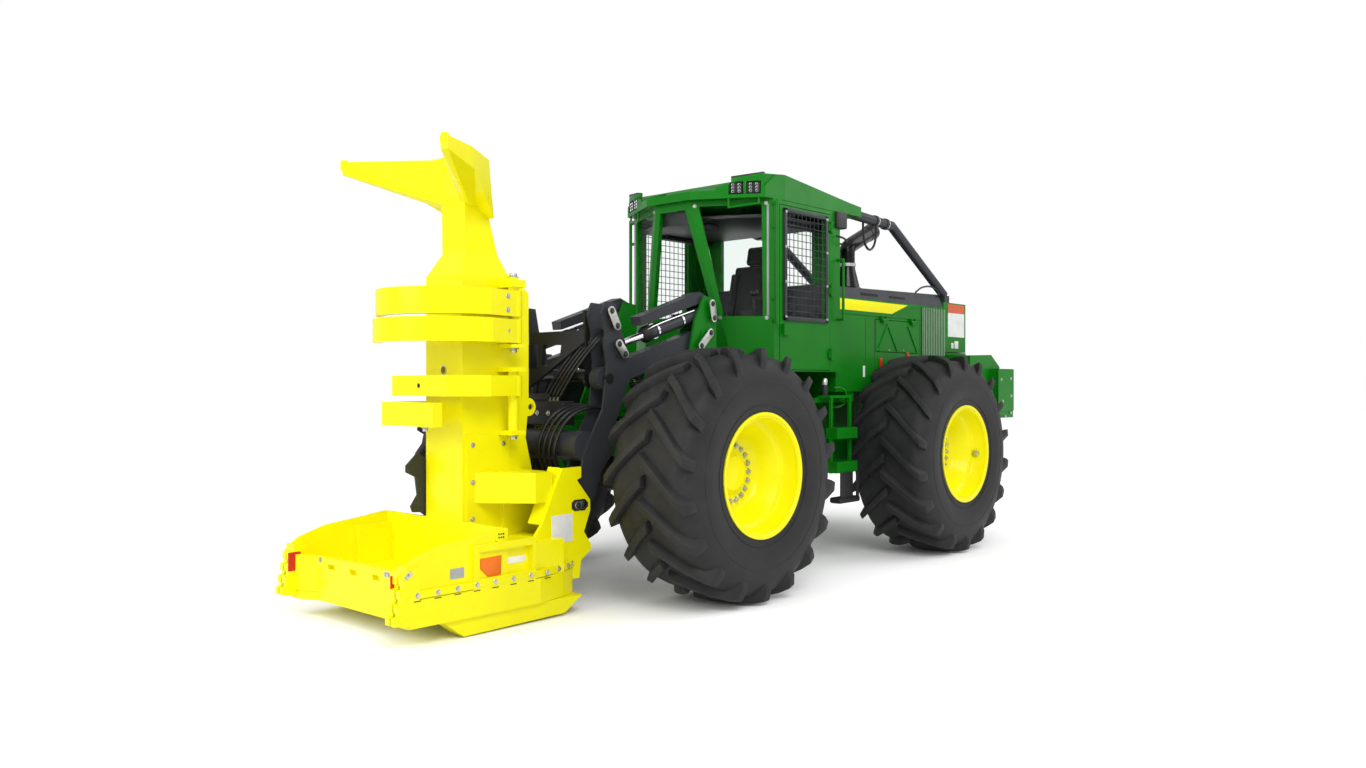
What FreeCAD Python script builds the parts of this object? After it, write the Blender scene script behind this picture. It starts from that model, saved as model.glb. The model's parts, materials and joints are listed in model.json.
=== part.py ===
import FreeCAD, Part
import math
import os

os.makedirs("parts", exist_ok=True)

V = FreeCAD.Vector

# ---------------------------------------------------------------- dimensions
# Millimetres. X points forward, Y to the machine's left, Z up; X is zero at
# the articulation pivot and every exported shape is moved by ORIGIN_SHIFT.

# Running gear
WHEELBASE = 2935
AXLE_X = WHEELBASE / 2
TYRE_R = 885
TYRE_W = 730
TYRE_MID_Y = 1118
CARCASS_R = 832
LUGS = 22
LUG_TOP = 75
LUG_ROOT = 92
LUG_SWEEP = 21
LUG_END_R = 866
LUG_EDGE_Y = 295
LUG_END_Y = 363
BEAD_R = 395
FLANGE_R = 432
RIM_HALF = 345
RIM_WALL = 14
RIM_DISC_Y = -180
HUB_R = 190
BOLT_CIRCLE_R = 235
WHEEL_NUTS = 20
HUB_Z = TYRE_R
AXLE_TUBE_R = 125
AXLE_END_Y = 800
SPINDLE_R = 70
SPINDLE_END_Y = 880
DIFF_R = 200

# Clearances
RUN_GAP = 8
SEAT_GAP = 0.3
LEAF_GAP = 6

# Frames and articulation
RAIL_IN_Y = 300
RAIL_OUT_Y = 360
RAIL_BOTTOM = 700
RAIL_TOP = 1290
HITCH_R = 110
HITCH_PIN_R = 45
HITCH_T = 45
HITCH_LOW_Z = 800
HITCH_HIGH_Z = 1210
FRONT_RAIL_REAR = 330
FRONT_RAIL_NOSE = 1760
REAR_RAIL_FRONT = -330
REAR_RAIL_END = -2870

# Boom tower and linkage, side view
TOWER_UP = (927, 2077)
TOWER_LOW = (1019, 1859)
KNUCKLE_HIGH = (1991, 1977)
KNUCKLE_PIN = (1932, 1766)
ELBOW = (KNUCKLE_PIN[0] - TOWER_UP[0] + TOWER_LOW[0],
         KNUCKLE_PIN[1] - TOWER_UP[1] + TOWER_LOW[1])
HEAD_PIN = (2310, 690)
LINK_MID_Y = 440
LINK_GAP = 120
SIDE_PLATE_T = 20
LINK_PIN_R = 34
TOWER_REAR_X = 868
TOWER_TOP_Z = 2190
LIFT_ARM_T = 90
LIFT_ARM_H = 150
TILT_BARREL_R = 52
TILT_ROD_R = 28
LIFT_FOOT = (1215, 1160)
LIFT_EYE = (1500, 1588)
LIFT_CYL_Y = 215
LIFT_BARREL_R = 55
LIFT_ROD_R = 30

# Cab
CAB_HALF = 784
CAB_BOTTOM = 1610
CAB_TOP = 2985
CAB_REAR = -470
CAB_POST_X = 469
CAB_NOSE_X = 819
CAB_NOSE_HALF = 178
CAB_WALL = 45
SILL_Z = CAB_BOTTOM + 430
SCREEN_TOP_Z = CAB_TOP - 25
SCREEN_RAKE = 130.0 / 903.0
DOOR_FRONT = 395
DOOR_REAR = -309
DOOR_T = 40
DOOR_BOTTOM = CAB_BOTTOM + 15
DOOR_TOP = CAB_TOP - 40
CORNER_WINDOW = (290, 610, 600, 88)
ROOF_TOP = CAB_TOP + 205
ROOF_HALF = 790
ROOF_CREST_X = 336
ROOF_EDGE_T = 65
ROOF_TAIL_T = 85
ROOF_NOSE_X = CAB_NOSE_X + 50
ROOF_NOSE_HALF = 240
ROOF_CORNER = (565, 770)
POD_NEAR = 209
POD_FAR = 595
LAMP_NEAR = 316
LAMP_FAR = 575
LAMP_CELLS = 4
LAMP_RECESS = 45
ROOF_REAR = -800
ROOF_BOLT_R = 5.5
ROOF_PAD_Z = ROOF_TOP - 15

# Engine enclosure
COWL_HALF = 735
COWL_FRONT = -478
COWL_REAR = -2430
COWL_BOTTOM = 1440
COWL_SHOULDER = 2270
HOOD_FRONT_Z = 2364
HOOD_REAR_Z = 2406
STACK_X = -1245
STACK_Y = 350
STACK_R = 150
RISER_Y = 680
RISER_R = 45
COWL_WALL = 25
ENGINE_DOOR_REAR = -1900
ENGINE_DOOR_FRONT = -1130
ENGINE_DOOR_Z0 = 1805
ENGINE_DOOR_Z1 = 2095
SLATS = 14
SLATS_FRONT = -1951
SLATS_REAR = -2418
TAIL_REAR = -2911
TAIL_BOTTOM = 1830
TAIL_TOP = 2330
BUMPER_FRONT = -2870
BUMPER_REAR = -3220
BUMPER_HALF = 1100
BUMPER_BOTTOM = 1160
BUMPER_TOP = 1660
TOW_PLATE_T = 50
TOW_HOLE_R = 26

# Felling head
MAST_FRONT = 3040
MAST_REAR = 2660
MAST_BACK = 2490
MAST_HALF = 204
MAST_WALL = 25
MAST_NECK_HALF = 130
MAST_FOOT_Z = 300
MAST_SHOULDER_Z = 2225
FORK_Z = 2990
FORK_TIP = (3460, 580)
TRAY_HALF = 700
TRAY_SKIN = 25
TRAY_FRONT = 3750
TRAY_REAR = 2380
TRAY_FLOOR = 285
TRAY_BOTTOM = 115
SAW_X = 3050
SAW_R = 600
SAW_Z = 200
SAW_BOSS_R = 70
HORN_TIP_X = 3850
HORN_TEETH = 4
BRACE_Z = (730, 930)
LUG_OUT_Y = 530
ARM_PIN_X = 2700
ARM_PIN_Y = 300

ORIGIN_SHIFT = -(HORN_TIP_X + BUMPER_REAR) / 2

# ------------------------------------------------------------------- helpers


def box(x0, x1, y0, y1, z0, z1):
    return Part.makeBox(x1 - x0, y1 - y0, z1 - z0, V(x0, y0, z0))


def plate_xz(points, y0, y1):
    """Flat plate drawn in side view and given its thickness across."""
    wire = Part.makePolygon([V(x, y0, z) for x, z in points + points[:1]])
    return Part.Face(wire).extrude(V(0, y1 - y0, 0))


def plate_xy(points, z0, z1):
    """Flat plate drawn in plan and given its height."""
    wire = Part.makePolygon([V(x, y, z0) for x, y in points + points[:1]])
    return Part.Face(wire).extrude(V(0, 0, z1 - z0))


def plate_yz(points, x0, x1):
    """Flat plate drawn in front view and given its thickness fore and aft."""
    wire = Part.makePolygon([V(x0, y, z) for y, z in points + points[:1]])
    return Part.Face(wire).extrude(V(x1 - x0, 0, 0))


def rod(p, q, radius):
    p, q = V(*p), V(*q)
    return Part.makeCylinder(radius, (q - p).Length, p, q - p)


def pin_y(x, z, y0, y1, radius):
    return Part.makeCylinder(radius, y1 - y0, V(x, y0, z), V(0, 1, 0))


def pin_z(x, y, z0, z1, radius):
    return Part.makeCylinder(radius, z1 - z0, V(x, y, z0))


def bent_tube(points, radius):
    """Round tube through a chain of points with a ball at every bend."""
    pieces = [rod(a, b, radius) for a, b in zip(points, points[1:])]
    pieces += [Part.makeSphere(radius, V(*p)) for p in points[1:-1]]
    return fuse(pieces)


def fuse(pieces):
    if len(pieces) == 1:
        return pieces[0]
    return pieces[0].multiFuse(pieces[1:]).removeSplitter()


def cut(shape, tools):
    return shape.cut(fuse(tools)) if len(tools) > 1 else shape.cut(tools[0])


def mirrored(shape):
    return shape.mirror(V(0, 0, 0), V(0, 1, 0))


def both(shape):
    return [shape, mirrored(shape)]


def flat(corners):
    return Part.Face(Part.makePolygon([V(*p) for p in corners + corners[:1]]))


def skin(low, high):
    """Solid with flat faces between two outlines of equally many corners;
    the first corner sees all the others."""
    n = len(low)
    faces = [flat([low[0], low[k + 1], low[k]]) for k in range(1, n - 1)]
    faces += [flat([high[0], high[k], high[k + 1]]) for k in range(1, n - 1)]
    for k in range(n):
        m = (k + 1) % n
        faces += [flat([low[k], low[m], high[m]]), flat([low[k], high[m], high[k]])]
    return closed(faces)


def closed(faces):
    shell = Part.makeShell(faces)
    shell.sewShape()
    solid = Part.makeSolid(shell)
    if solid.Volume < 0:
        solid.reverse()
    return solid


def loft(*sections):
    """Solid through closed sections that share their number of corners."""
    wires = [Part.makePolygon([V(*p) for p in s + s[:1]]) for s in sections]
    return Part.makeLoft(wires, True, True)


def ring_profile(points, x, y, z):
    """Body of revolution about a crosswise axis; points are (offset, radius)."""
    wire = Part.makePolygon([V(x, y + o, z + r) for o, r in points + points[:1]])
    return Part.Face(wire).revolve(V(x, y, z), V(0, 1, 0), 360)


def export(name, pieces):
    shape = pieces[0] if len(pieces) == 1 else Part.makeCompound(pieces)
    shape = shape.copy()
    shape.translate(V(ORIGIN_SHIFT, 0, 0))
    shape.exportStep("parts/" + name + ".step")


def along(p, q, distance):
    """Point on the line p-q in side view, measured from p."""
    length = math.hypot(q[0] - p[0], q[1] - p[1])
    return (p[0] + (q[0] - p[0]) * distance / length,
            p[1] + (q[1] - p[1]) * distance / length)


def strap(p, q, half, y0, y1):
    """Straight bar of constant depth between two side-view points."""
    length = math.hypot(q[0] - p[0], q[1] - p[1])
    nx = -(q[1] - p[1]) / length * half
    nz = (q[0] - p[0]) / length * half
    corners = [(p[0] + nx, p[1] + nz), (q[0] + nx, q[1] + nz),
               (q[0] - nx, q[1] - nz), (p[0] - nx, p[1] - nz)]
    return plate_xz(corners, y0, y1)


def hinge_z(x, y, z, wall_y, lug_x, leaf_x, leaf_y):
    """One upright hinge: (lugs and pin on the wall, knuckle on the leaf)."""
    pin_r, knuckle_r, half = 7, 12, 30
    fixed = [pin_z(x, y, z - half - 18, z + half + 18, pin_r)]
    for z0 in (z - half - 17, z + half + 1):
        fixed.append(box(min(lug_x, x), max(lug_x, x), min(wall_y, y), max(wall_y, y), z0, z0 + 16))
        fixed.append(pin_z(x, y, z0, z0 + 16, knuckle_r))
    knuckle = fuse([pin_z(x, y, z - half, z + half, knuckle_r),
                    box(min(x, leaf_x), max(x, leaf_x), min(y, leaf_y), max(y, leaf_y),
                        z - half, z + half)])
    hole = pin_z(x, y, z - half - 5, z + half + 5, pin_r + SEAT_GAP)
    return fuse(fixed), knuckle.cut(hole)


# -------------------------------------------------------------------- wheels
PITCH = 360 / LUGS


def tread_point(angle, offset, radius, shift=0):
    """Point of a tyre: across at offset, shifted along the tread by shift."""
    a = math.radians(angle)
    return (radius * math.cos(a) - shift * math.sin(a), offset,
            radius * math.sin(a) + shift * math.cos(a))


def tread_half():
    """One half of a tyre, from its mid plane to the bead, with its bars."""
    half = TYRE_W / 2
    bead = BEAD_R / math.cos(math.pi / LUGS)
    root, top = LUG_ROOT / 2, LUG_TOP / 2
    turned = LUG_SWEEP * LUG_EDGE_Y / LUG_END_Y
    wall = [(half, 580), (334, 440), (334, bead), (300, bead), (250, CARCASS_R - 42),
            (0, CARCASS_R - 42)]
    faces, seam, bore = [], [], []
    for k in range(LUGS):
        a, b = -90 + k * PITCH, -90 + (k + 1) * PITCH
        crown = [tread_point(a, 0, CARCASS_R, -root), tread_point(a, 0, TYRE_R, -top),
                 tread_point(a, 0, TYRE_R, top), tread_point(a, 0, CARCASS_R, root)]
        valley = [crown[3], tread_point(a + PITCH / 2, 0, CARCASS_R, -root),
                  tread_point(a + PITCH / 2, 0, CARCASS_R, root), tread_point(b, 0, CARCASS_R, -root)]
        edge = [tread_point(a - turned, LUG_EDGE_Y, CARCASS_R, t) for t in (-root, root)]
        edge.append(tread_point(b - turned, LUG_EDGE_Y, CARCASS_R, -root))
        tip = [tread_point(a - LUG_SWEEP, LUG_END_Y, LUG_END_R, t) for t in (-top, top)]
        foot = [tread_point(a - LUG_SWEEP, half - 13, 740, t) for t in (-root, root)]
        foot.append(tread_point(b - LUG_SWEEP, half - 13, 740, -root))
        strips = [[crown[0], edge[0], tip[0], crown[1]], [crown[1], tip[0], tip[1], crown[2]],
                  [crown[2], tip[1], edge[1], crown[3]], [tip[0], foot[0], foot[1], tip[1]],
                  [edge[1], foot[1], foot[2], edge[2]], [valley[2], edge[1], edge[2], valley[3]]]
        for p, q, r, t in strips:
            faces += [flat([p, q, r]), flat([p, r, t])]
        faces += [flat([edge[0], foot[0], tip[0]]), flat([tip[1], foot[1], edge[1]]),
                  flat([valley[0], edge[1], valley[1]]), flat([valley[1], edge[1], valley[2]])]
        mid = a - LUG_SWEEP + PITCH / 2
        rings = [[tread_point(mid - PITCH, o, r), tread_point(mid, o, r)] for o, r in wall]
        faces += [flat([foot[0], rings[0][0], foot[1]]), flat([foot[1], rings[0][0], rings[0][1]]),
                  flat([foot[1], rings[0][1], foot[2]])]
        for low, high in zip(rings, rings[1:]):
            faces.append(flat([low[0], high[0], high[1], low[1]]))
        seam += crown + valley[1:3]
        bore.append(rings[-1][1])
    outline, hole = [Part.makePolygon([V(*p) for p in ring + ring[:1]]) for ring in (seam, bore)]
    return closed(faces + Part.Face(outline).cut(Part.Face(hole)).Faces)


def tyre():
    """Tyre about the Y axis; the right half's bars stand between the left's."""
    left = tread_half()
    right = mirrored(left)
    right.rotate(V(0, 0, 0), V(0, 1, 0), PITCH / 2)
    return left.fuse(right)


def placed(shape, x, y, z):
    moved = shape.copy()
    moved.translate(V(x, y, z))
    return moved


def rim(x, side):
    base = BEAD_R - SEAT_GAP
    bore = base - RIM_WALL
    barrel = [(-RIM_HALF, FLANGE_R), (-RIM_HALF + 10, FLANGE_R),
              (-RIM_HALF + 10, base), (RIM_HALF - 10, base),
              (RIM_HALF - 10, FLANGE_R), (RIM_HALF, FLANGE_R),
              (RIM_HALF, bore), (-RIM_HALF, bore)]
    disc = [(RIM_DISC_Y, 0), (RIM_DISC_Y, bore + 5),
            (RIM_DISC_Y + 22, bore + 5), (RIM_DISC_Y + 22, 0)]
    drum_in = AXLE_END_Y + RUN_GAP - TYRE_MID_Y
    drum = [(drum_in, 0), (drum_in, HUB_R), (RIM_DISC_Y + 60, HUB_R),
            (RIM_DISC_Y + 90, HUB_R - 60), (RIM_DISC_Y + 90, 0)]
    centre = V(x, side * TYRE_MID_Y, HUB_Z)
    parts = []
    for profile in (barrel, disc, drum):
        points = [(side * o, r) for o, r in profile]
        parts.append(ring_profile(points, centre.x, centre.y, centre.z))
    for k in range(WHEEL_NUTS):
        a = 2 * math.pi * k / WHEEL_NUTS
        nut_x = x + BOLT_CIRCLE_R * math.cos(a)
        nut_z = HUB_Z + BOLT_CIRCLE_R * math.sin(a)
        y0 = side * (TYRE_MID_Y + RIM_DISC_Y + 20)
        y1 = side * (TYRE_MID_Y + RIM_DISC_Y + 46)
        parts.append(pin_y(nut_x, nut_z, min(y0, y1), max(y0, y1), 16))
    socket = [side * (AXLE_END_Y - 10), side * (SPINDLE_END_Y + RUN_GAP)]
    return fuse(parts).cut(pin_y(x, HUB_Z, min(socket), max(socket), SPINDLE_R + SEAT_GAP))


def axle(x):
    tube = pin_y(x, HUB_Z, -AXLE_END_Y, AXLE_END_Y, AXLE_TUBE_R)
    ball = Part.makeSphere(DIFF_R, V(x, 0, HUB_Z))
    ends = both(pin_y(x, HUB_Z, AXLE_END_Y - 60, AXLE_END_Y, HUB_R - 10))
    ends += both(pin_y(x, HUB_Z, AXLE_END_Y - 10, SPINDLE_END_Y, SPINDLE_R))
    cones = both(Part.makeCone(DIFF_R - 20, AXLE_TUBE_R, 150, V(x, 120, HUB_Z), V(0, 1, 0)))
    return fuse([tube, ball] + ends + cones)


WHEELS = [("front_left", AXLE_X, 1), ("front_right", AXLE_X, -1),
          ("rear_left", -AXLE_X, 1), ("rear_right", -AXLE_X, -1)]
plain_tyre = tyre()
for label, wheel_x, wheel_side in WHEELS:
    export("tyre_" + label, [placed(plain_tyre, wheel_x, wheel_side * TYRE_MID_Y, HUB_Z)])
    export("rim_" + label, [rim(wheel_x, wheel_side)])
export("front_axle", [axle(AXLE_X)])
export("rear_axle", [axle(-AXLE_X)])

# --------------------------------------------------------------- front frame
front_rail = plate_xz([(FRONT_RAIL_REAR, HITCH_LOW_Z - 60), (AXLE_X - 330, RAIL_BOTTOM),
                       (AXLE_X + 200, RAIL_BOTTOM), (FRONT_RAIL_NOSE, 980),
                       (FRONT_RAIL_NOSE, RAIL_TOP - 60), (AXLE_X, RAIL_TOP),
                       (FRONT_RAIL_REAR, RAIL_TOP)], RAIL_IN_Y, RAIL_OUT_Y)
front_rail = front_rail.cut(pin_y(AXLE_X, HUB_Z, 0, 900, AXLE_TUBE_R + SEAT_GAP))
# The axle's tapered shoulders end inside the rails, so the holes are plain.
deck = box(FRONT_RAIL_REAR, AXLE_X + 60, -RAIL_IN_Y, RAIL_IN_Y, RAIL_TOP - 30, RAIL_TOP)
rear_web = box(FRONT_RAIL_REAR, FRONT_RAIL_REAR + 40, -RAIL_IN_Y, RAIL_IN_Y,
               HITCH_LOW_Z - 60, RAIL_TOP)
nose = box(FRONT_RAIL_NOSE - 40, FRONT_RAIL_NOSE, -RAIL_OUT_Y, RAIL_OUT_Y, 980, RAIL_TOP - 60)


def tongue(z):
    pad = pin_z(0, 0, z - HITCH_T / 2, z + HITCH_T / 2, HITCH_R)
    web = box(0, FRONT_RAIL_REAR + 10, -HITCH_R, HITCH_R, z - HITCH_T / 2, z + HITCH_T / 2)
    hole = pin_z(0, 0, z - HITCH_T, z + HITCH_T, HITCH_PIN_R + SEAT_GAP)
    return fuse([pad, web]).cut(hole)


plate_in = LINK_MID_Y - LINK_GAP / 2 - SIDE_PLATE_T
plate_out = LINK_MID_Y + LINK_GAP / 2
TOWER_OUTLINE = [(TOWER_REAR_X, TOWER_TOP_Z - 20), (TOWER_REAR_X, 1400), (700, 1240),
                 (1420, 1240), (1300, 1500), (1178, 1758), (1120, 1990),
                 (1010, TOWER_TOP_Z)]


def side_pair(outline):
    """The same plate inside and outside the link, on both sides."""
    inner = plate_xz(outline, plate_in, plate_in + SIDE_PLATE_T)
    outer = plate_xz(outline, plate_out, plate_out + SIDE_PLATE_T)
    return both(inner) + both(outer)


def pin_plate(x, z):
    """Oval keeper plate and pin head outside a link pin."""
    y0 = plate_out + SIDE_PLATE_T
    oval = [pin_y(x, z + 28, y0, y0 + 12, 38), pin_y(x, z - 28, y0, y0 + 12, 38),
            box(x - 38, x + 38, y0, y0 + 12, z - 28, z + 28),
            pin_y(x, z, y0, y0 + 24, 20)]
    return fuse(oval)


tower = side_pair(TOWER_OUTLINE)
sponson = both(box(700, 1420, RAIL_OUT_Y - 20, plate_out + SIDE_PLATE_T, 1200, 1245))
tower_pins = []
for px, pz in (TOWER_UP, TOWER_LOW):
    tower_pins += both(pin_y(px, pz, plate_in, plate_out + SIDE_PLATE_T, LINK_PIN_R))
    tower_pins += both(pin_plate(px, pz))
tower_tie = box(TOWER_REAR_X, TOWER_REAR_X + 25, -plate_in - 5, plate_in + 5, 1250, 1700)
lift_lugs = []
for y in (LIFT_CYL_Y - 82, LIFT_CYL_Y + 62):
    lug = fuse([box(LIFT_FOOT[0] - 60, LIFT_FOOT[0] + 60, y, y + 20, RAIL_TOP - 230, RAIL_TOP - 10),
                pin_y(LIFT_FOOT[0], LIFT_FOOT[1], y, y + 20, 60)])
    lift_lugs += both(lug)
lift_pins = both(pin_y(LIFT_FOOT[0], LIFT_FOOT[1], LIFT_CYL_Y - 82, LIFT_CYL_Y + 82, 30))
deck = deck.cut(box(LIFT_FOOT[0] - 100, LIFT_FOOT[0] + 250, -RAIL_IN_Y, RAIL_IN_Y,
                    RAIL_TOP - 60, RAIL_TOP + 10))
lug_floor = box(LIFT_FOOT[0] - 110, LIFT_FOOT[0] + 110, -RAIL_IN_Y - 5, RAIL_IN_Y + 5, 1080, 1100)
front_frame = fuse(both(front_rail) + [deck, rear_web, nose, tongue(HITCH_LOW_Z), tongue(HITCH_HIGH_Z),
                                       tower_tie, lug_floor] + tower + sponson + tower_pins
                   + lift_lugs + lift_pins)
export("front_frame", [front_frame])

# ---------------------------------------------------------------- rear frame
rear_rail = plate_xz([(REAR_RAIL_FRONT, HITCH_LOW_Z - 60), (-AXLE_X + 330, RAIL_BOTTOM),
                      (-AXLE_X - 330, RAIL_BOTTOM), (REAR_RAIL_END, 980),
                      (REAR_RAIL_END, RAIL_TOP + 60), (REAR_RAIL_FRONT, RAIL_TOP + 60)],
                     RAIL_IN_Y, RAIL_OUT_Y)
rear_rail = rear_rail.cut(pin_y(-AXLE_X, HUB_Z, 0, 900, AXLE_TUBE_R + SEAT_GAP))
front_web = box(REAR_RAIL_FRONT - 40, REAR_RAIL_FRONT, -RAIL_IN_Y, RAIL_IN_Y,
                HITCH_LOW_Z - 60, RAIL_TOP + 60)
belly = box(-AXLE_X + 330, REAR_RAIL_FRONT, -RAIL_IN_Y, RAIL_IN_Y, 740, 760)
tail_web = box(REAR_RAIL_END, REAR_RAIL_END + 40, -RAIL_OUT_Y, RAIL_OUT_Y, 980, RAIL_TOP + 60)


def fork_plates(z):
    """Two plates above and below a tongue, with the pin through them."""
    gap = HITCH_T / 2 + RUN_GAP
    parts = []
    for z0 in (z + gap, z - gap - 30):
        parts.append(pin_z(0, 0, z0, z0 + 30, HITCH_R - 10))
        parts.append(box(REAR_RAIL_FRONT - 10, 0, -HITCH_R + 10, HITCH_R - 10, z0, z0 + 30))
    parts.append(pin_z(0, 0, z - gap - 30, z + gap + 30, HITCH_PIN_R))
    return parts


cab_posts = []
for x in (-380, 180):
    cab_posts += both(box(x, x + 90, 250, 360, RAIL_TOP + 60, CAB_BOTTOM - SEAT_GAP))
cab_deck = box(-400, 300, -370, 370, RAIL_TOP + 60, RAIL_TOP + 90)
outrigger = both(box(-560, -100, RAIL_OUT_Y - 10, 780, RAIL_TOP + 60, RAIL_TOP + 100))
cowl_beams = [box(x, x + 90, -720, 720, RAIL_TOP + 60, COWL_BOTTOM) for x in (-780, -2350)]
rear_frame = fuse(cowl_beams + both(rear_rail) + [front_web, belly, tail_web, cab_deck]
                  + fork_plates(HITCH_LOW_Z) + fork_plates(HITCH_HIGH_Z) + cab_posts + outrigger)
export("rear_frame", [rear_frame])

# ----------------------------------------------------------------------- cab
CAB_PLAN = [(CAB_NOSE_X, -CAB_NOSE_HALF), (CAB_NOSE_X, CAB_NOSE_HALF),
            (CAB_POST_X, CAB_HALF), (CAB_REAR, CAB_HALF),
            (CAB_REAR, -CAB_HALF), (CAB_POST_X, -CAB_HALF)]


def inset(plan, wall):
    """Cab outline moved inward by the wall thickness."""
    slope = math.hypot(CAB_NOSE_X - CAB_POST_X, CAB_HALF - CAB_NOSE_HALF)
    shift = wall * (slope - (CAB_NOSE_X - CAB_POST_X)) / (CAB_HALF - CAB_NOSE_HALF)
    front = CAB_NOSE_HALF - wall * 0.28
    side = CAB_HALF - wall
    return [(CAB_NOSE_X - wall, -front), (CAB_NOSE_X - wall, front),
            (CAB_POST_X - shift, side), (CAB_REAR + wall, side),
            (CAB_REAR + wall, -side), (CAB_POST_X - shift, -side)]


def screen_cutter(offset):
    """Everything ahead of the raked windscreen plane."""
    top = CAB_NOSE_X - offset + SCREEN_RAKE * (CAB_TOP + 400 - SCREEN_TOP_Z)
    low = CAB_NOSE_X - offset - SCREEN_RAKE * (SCREEN_TOP_Z - CAB_BOTTOM + 200)
    return plate_xz([(low, CAB_BOTTOM - 200), (1400, CAB_BOTTOM - 200),
                     (1400, CAB_TOP + 400), (top, CAB_TOP + 400)], -900, 900)


cab_outer = plate_xy(CAB_PLAN, CAB_BOTTOM, CAB_TOP).cut(screen_cutter(0))
cab_inner = plate_xy(inset(CAB_PLAN, CAB_WALL), CAB_BOTTOM + 50, CAB_TOP - 40)
cab_inner = cab_inner.cut(screen_cutter(CAB_WALL))
cab = cab_outer.cut(cab_inner)
# Door openings on both sides
door_hole = box(DOOR_REAR - LEAF_GAP, DOOR_FRONT + LEAF_GAP, CAB_HALF - 80, CAB_HALF + 20,
                DOOR_BOTTOM + 30, DOOR_TOP + LEAF_GAP - 20)
cab = cab.cut(door_hole).cut(mirrored(door_hole))
leaf_rebate = box(DOOR_REAR - LEAF_GAP, DOOR_FRONT + LEAF_GAP, CAB_HALF - DOOR_T + 10, CAB_HALF + 20,
                  DOOR_BOTTOM - LEAF_GAP, DOOR_TOP + LEAF_GAP)
cab = cab.cut(leaf_rebate).cut(mirrored(leaf_rebate))
# Windscreen, corner windows and rear window
screen_low = SILL_Z + 20
screen_hole = loft([(300, -340, screen_low), (300, 340, screen_low),
                    (300, 140, SCREEN_TOP_Z - 40), (300, -140, SCREEN_TOP_Z - 40)],
                   [(1000, -340, screen_low), (1000, 340, screen_low),
                    (1000, 140, SCREEN_TOP_Z - 40), (1000, -140, SCREEN_TOP_Z - 40)])
cab = cab.cut(screen_hole)
corner_dir = V(CAB_POST_X - CAB_NOSE_X, CAB_HALF - CAB_NOSE_HALF, 0).normalize()
corner_out = V(corner_dir.y, -corner_dir.x, 0)


def corner_panel(s0, s1, s2, s3, z0, z1, d0, d1):
    """Panel on the left corner plane, from the nose edge outward."""
    base = V(CAB_NOSE_X, CAB_NOSE_HALF, 0)

    def at(s, z, d):
        p = base + corner_dir * s + corner_out * d
        return (p.x, p.y, z)
    return loft([at(s0, z0, d0), at(s1, z0, d0), at(s2, z1, d0), at(s3, z1, d0)],
                [at(s0, z0, d1), at(s1, z0, d1), at(s2, z1, d1), at(s3, z1, d1)])


corner_hole = corner_panel(*CORNER_WINDOW, SILL_Z + 10, SCREEN_TOP_Z - 20, -120, 40)
cab = cab.cut(corner_hole).cut(mirrored(corner_hole))
pane_z0, pane_z1 = SILL_Z + 340, CAB_TOP - 105
rear_window = box(CAB_REAR - 30, CAB_REAR + 90, -520, 520, pane_z0, pane_z1)
cab = cab.cut(rear_window)
DOOR_AXIS = (DOOR_REAR - 3, CAB_HALF + 18)
door_fixed, door_knuckles = [], []
for z in (DOOR_BOTTOM + 135, (DOOR_BOTTOM + DOOR_TOP) / 2 + 15, DOOR_TOP - 105):
    fixed, knuckle = hinge_z(DOOR_AXIS[0], DOOR_AXIS[1], z, CAB_HALF - 5, DOOR_AXIS[0] - 40,
                             DOOR_AXIS[0] + 30, CAB_HALF - 5)
    door_fixed.append(fixed)
    door_knuckles.append(knuckle)
door_fixed = fuse(door_fixed).cut(leaf_rebate)
export("cab_shell", [fuse([cab] + both(door_fixed))])

window = [CORNER_WINDOW[0] + SEAT_GAP, CORNER_WINDOW[1] - SEAT_GAP, CORNER_WINDOW[2] - SEAT_GAP,
          CORNER_WINDOW[3] + SEAT_GAP]
glass = [corner_panel(*window, SILL_Z + 10 + SEAT_GAP, SCREEN_TOP_Z - 20 - SEAT_GAP, -24, -18),
         box(CAB_REAR + 15, CAB_REAR + 21, -519.7, 519.7, pane_z0 + SEAT_GAP, pane_z1 - SEAT_GAP)]
glass.append(mirrored(glass[0]))
screen_x = CAB_NOSE_X - 20
pane_low = screen_x - SCREEN_RAKE * (SCREEN_TOP_Z - screen_low)
pane_top = screen_x - SCREEN_RAKE * 40


def screen_outline(back):
    """The windscreen's corners, moved rearward by back."""
    low_z, top_z = screen_low + SEAT_GAP, SCREEN_TOP_Z - 40 - SEAT_GAP
    return [(pane_low - back, -339.6, low_z), (pane_low - back, 339.6, low_z),
            (pane_top - back, 139.6, top_z), (pane_top - back, -139.6, top_z)]


glass.append(loft(screen_outline(0), screen_outline(6)))
export("cab_glass", glass)

# Roof: a thin front edge, a crown that falls to the rear and a lamp pod on
# each front corner, with the lamps set back in a recess
def roof_corner(s, z, d):
    """Point at s along the left corner of the roof, d outside it."""
    base = V(ROOF_NOSE_X, ROOF_NOSE_HALF, 0)
    run = V(ROOF_CORNER[0] - ROOF_NOSE_X, ROOF_CORNER[1] - ROOF_NOSE_HALF, 0).normalize()
    p = base + run * s + V(run.y, -run.x, 0) * d
    return (p.x, p.y, z)


def roof_panel(s0, s1, z0, z1, d0, d1):
    return loft(*[[roof_corner(s0, z0, d), roof_corner(s1, z0, d), roof_corner(s1, z1, d),
                   roof_corner(s0, z1, d)] for d in (d0, d1)])


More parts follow.
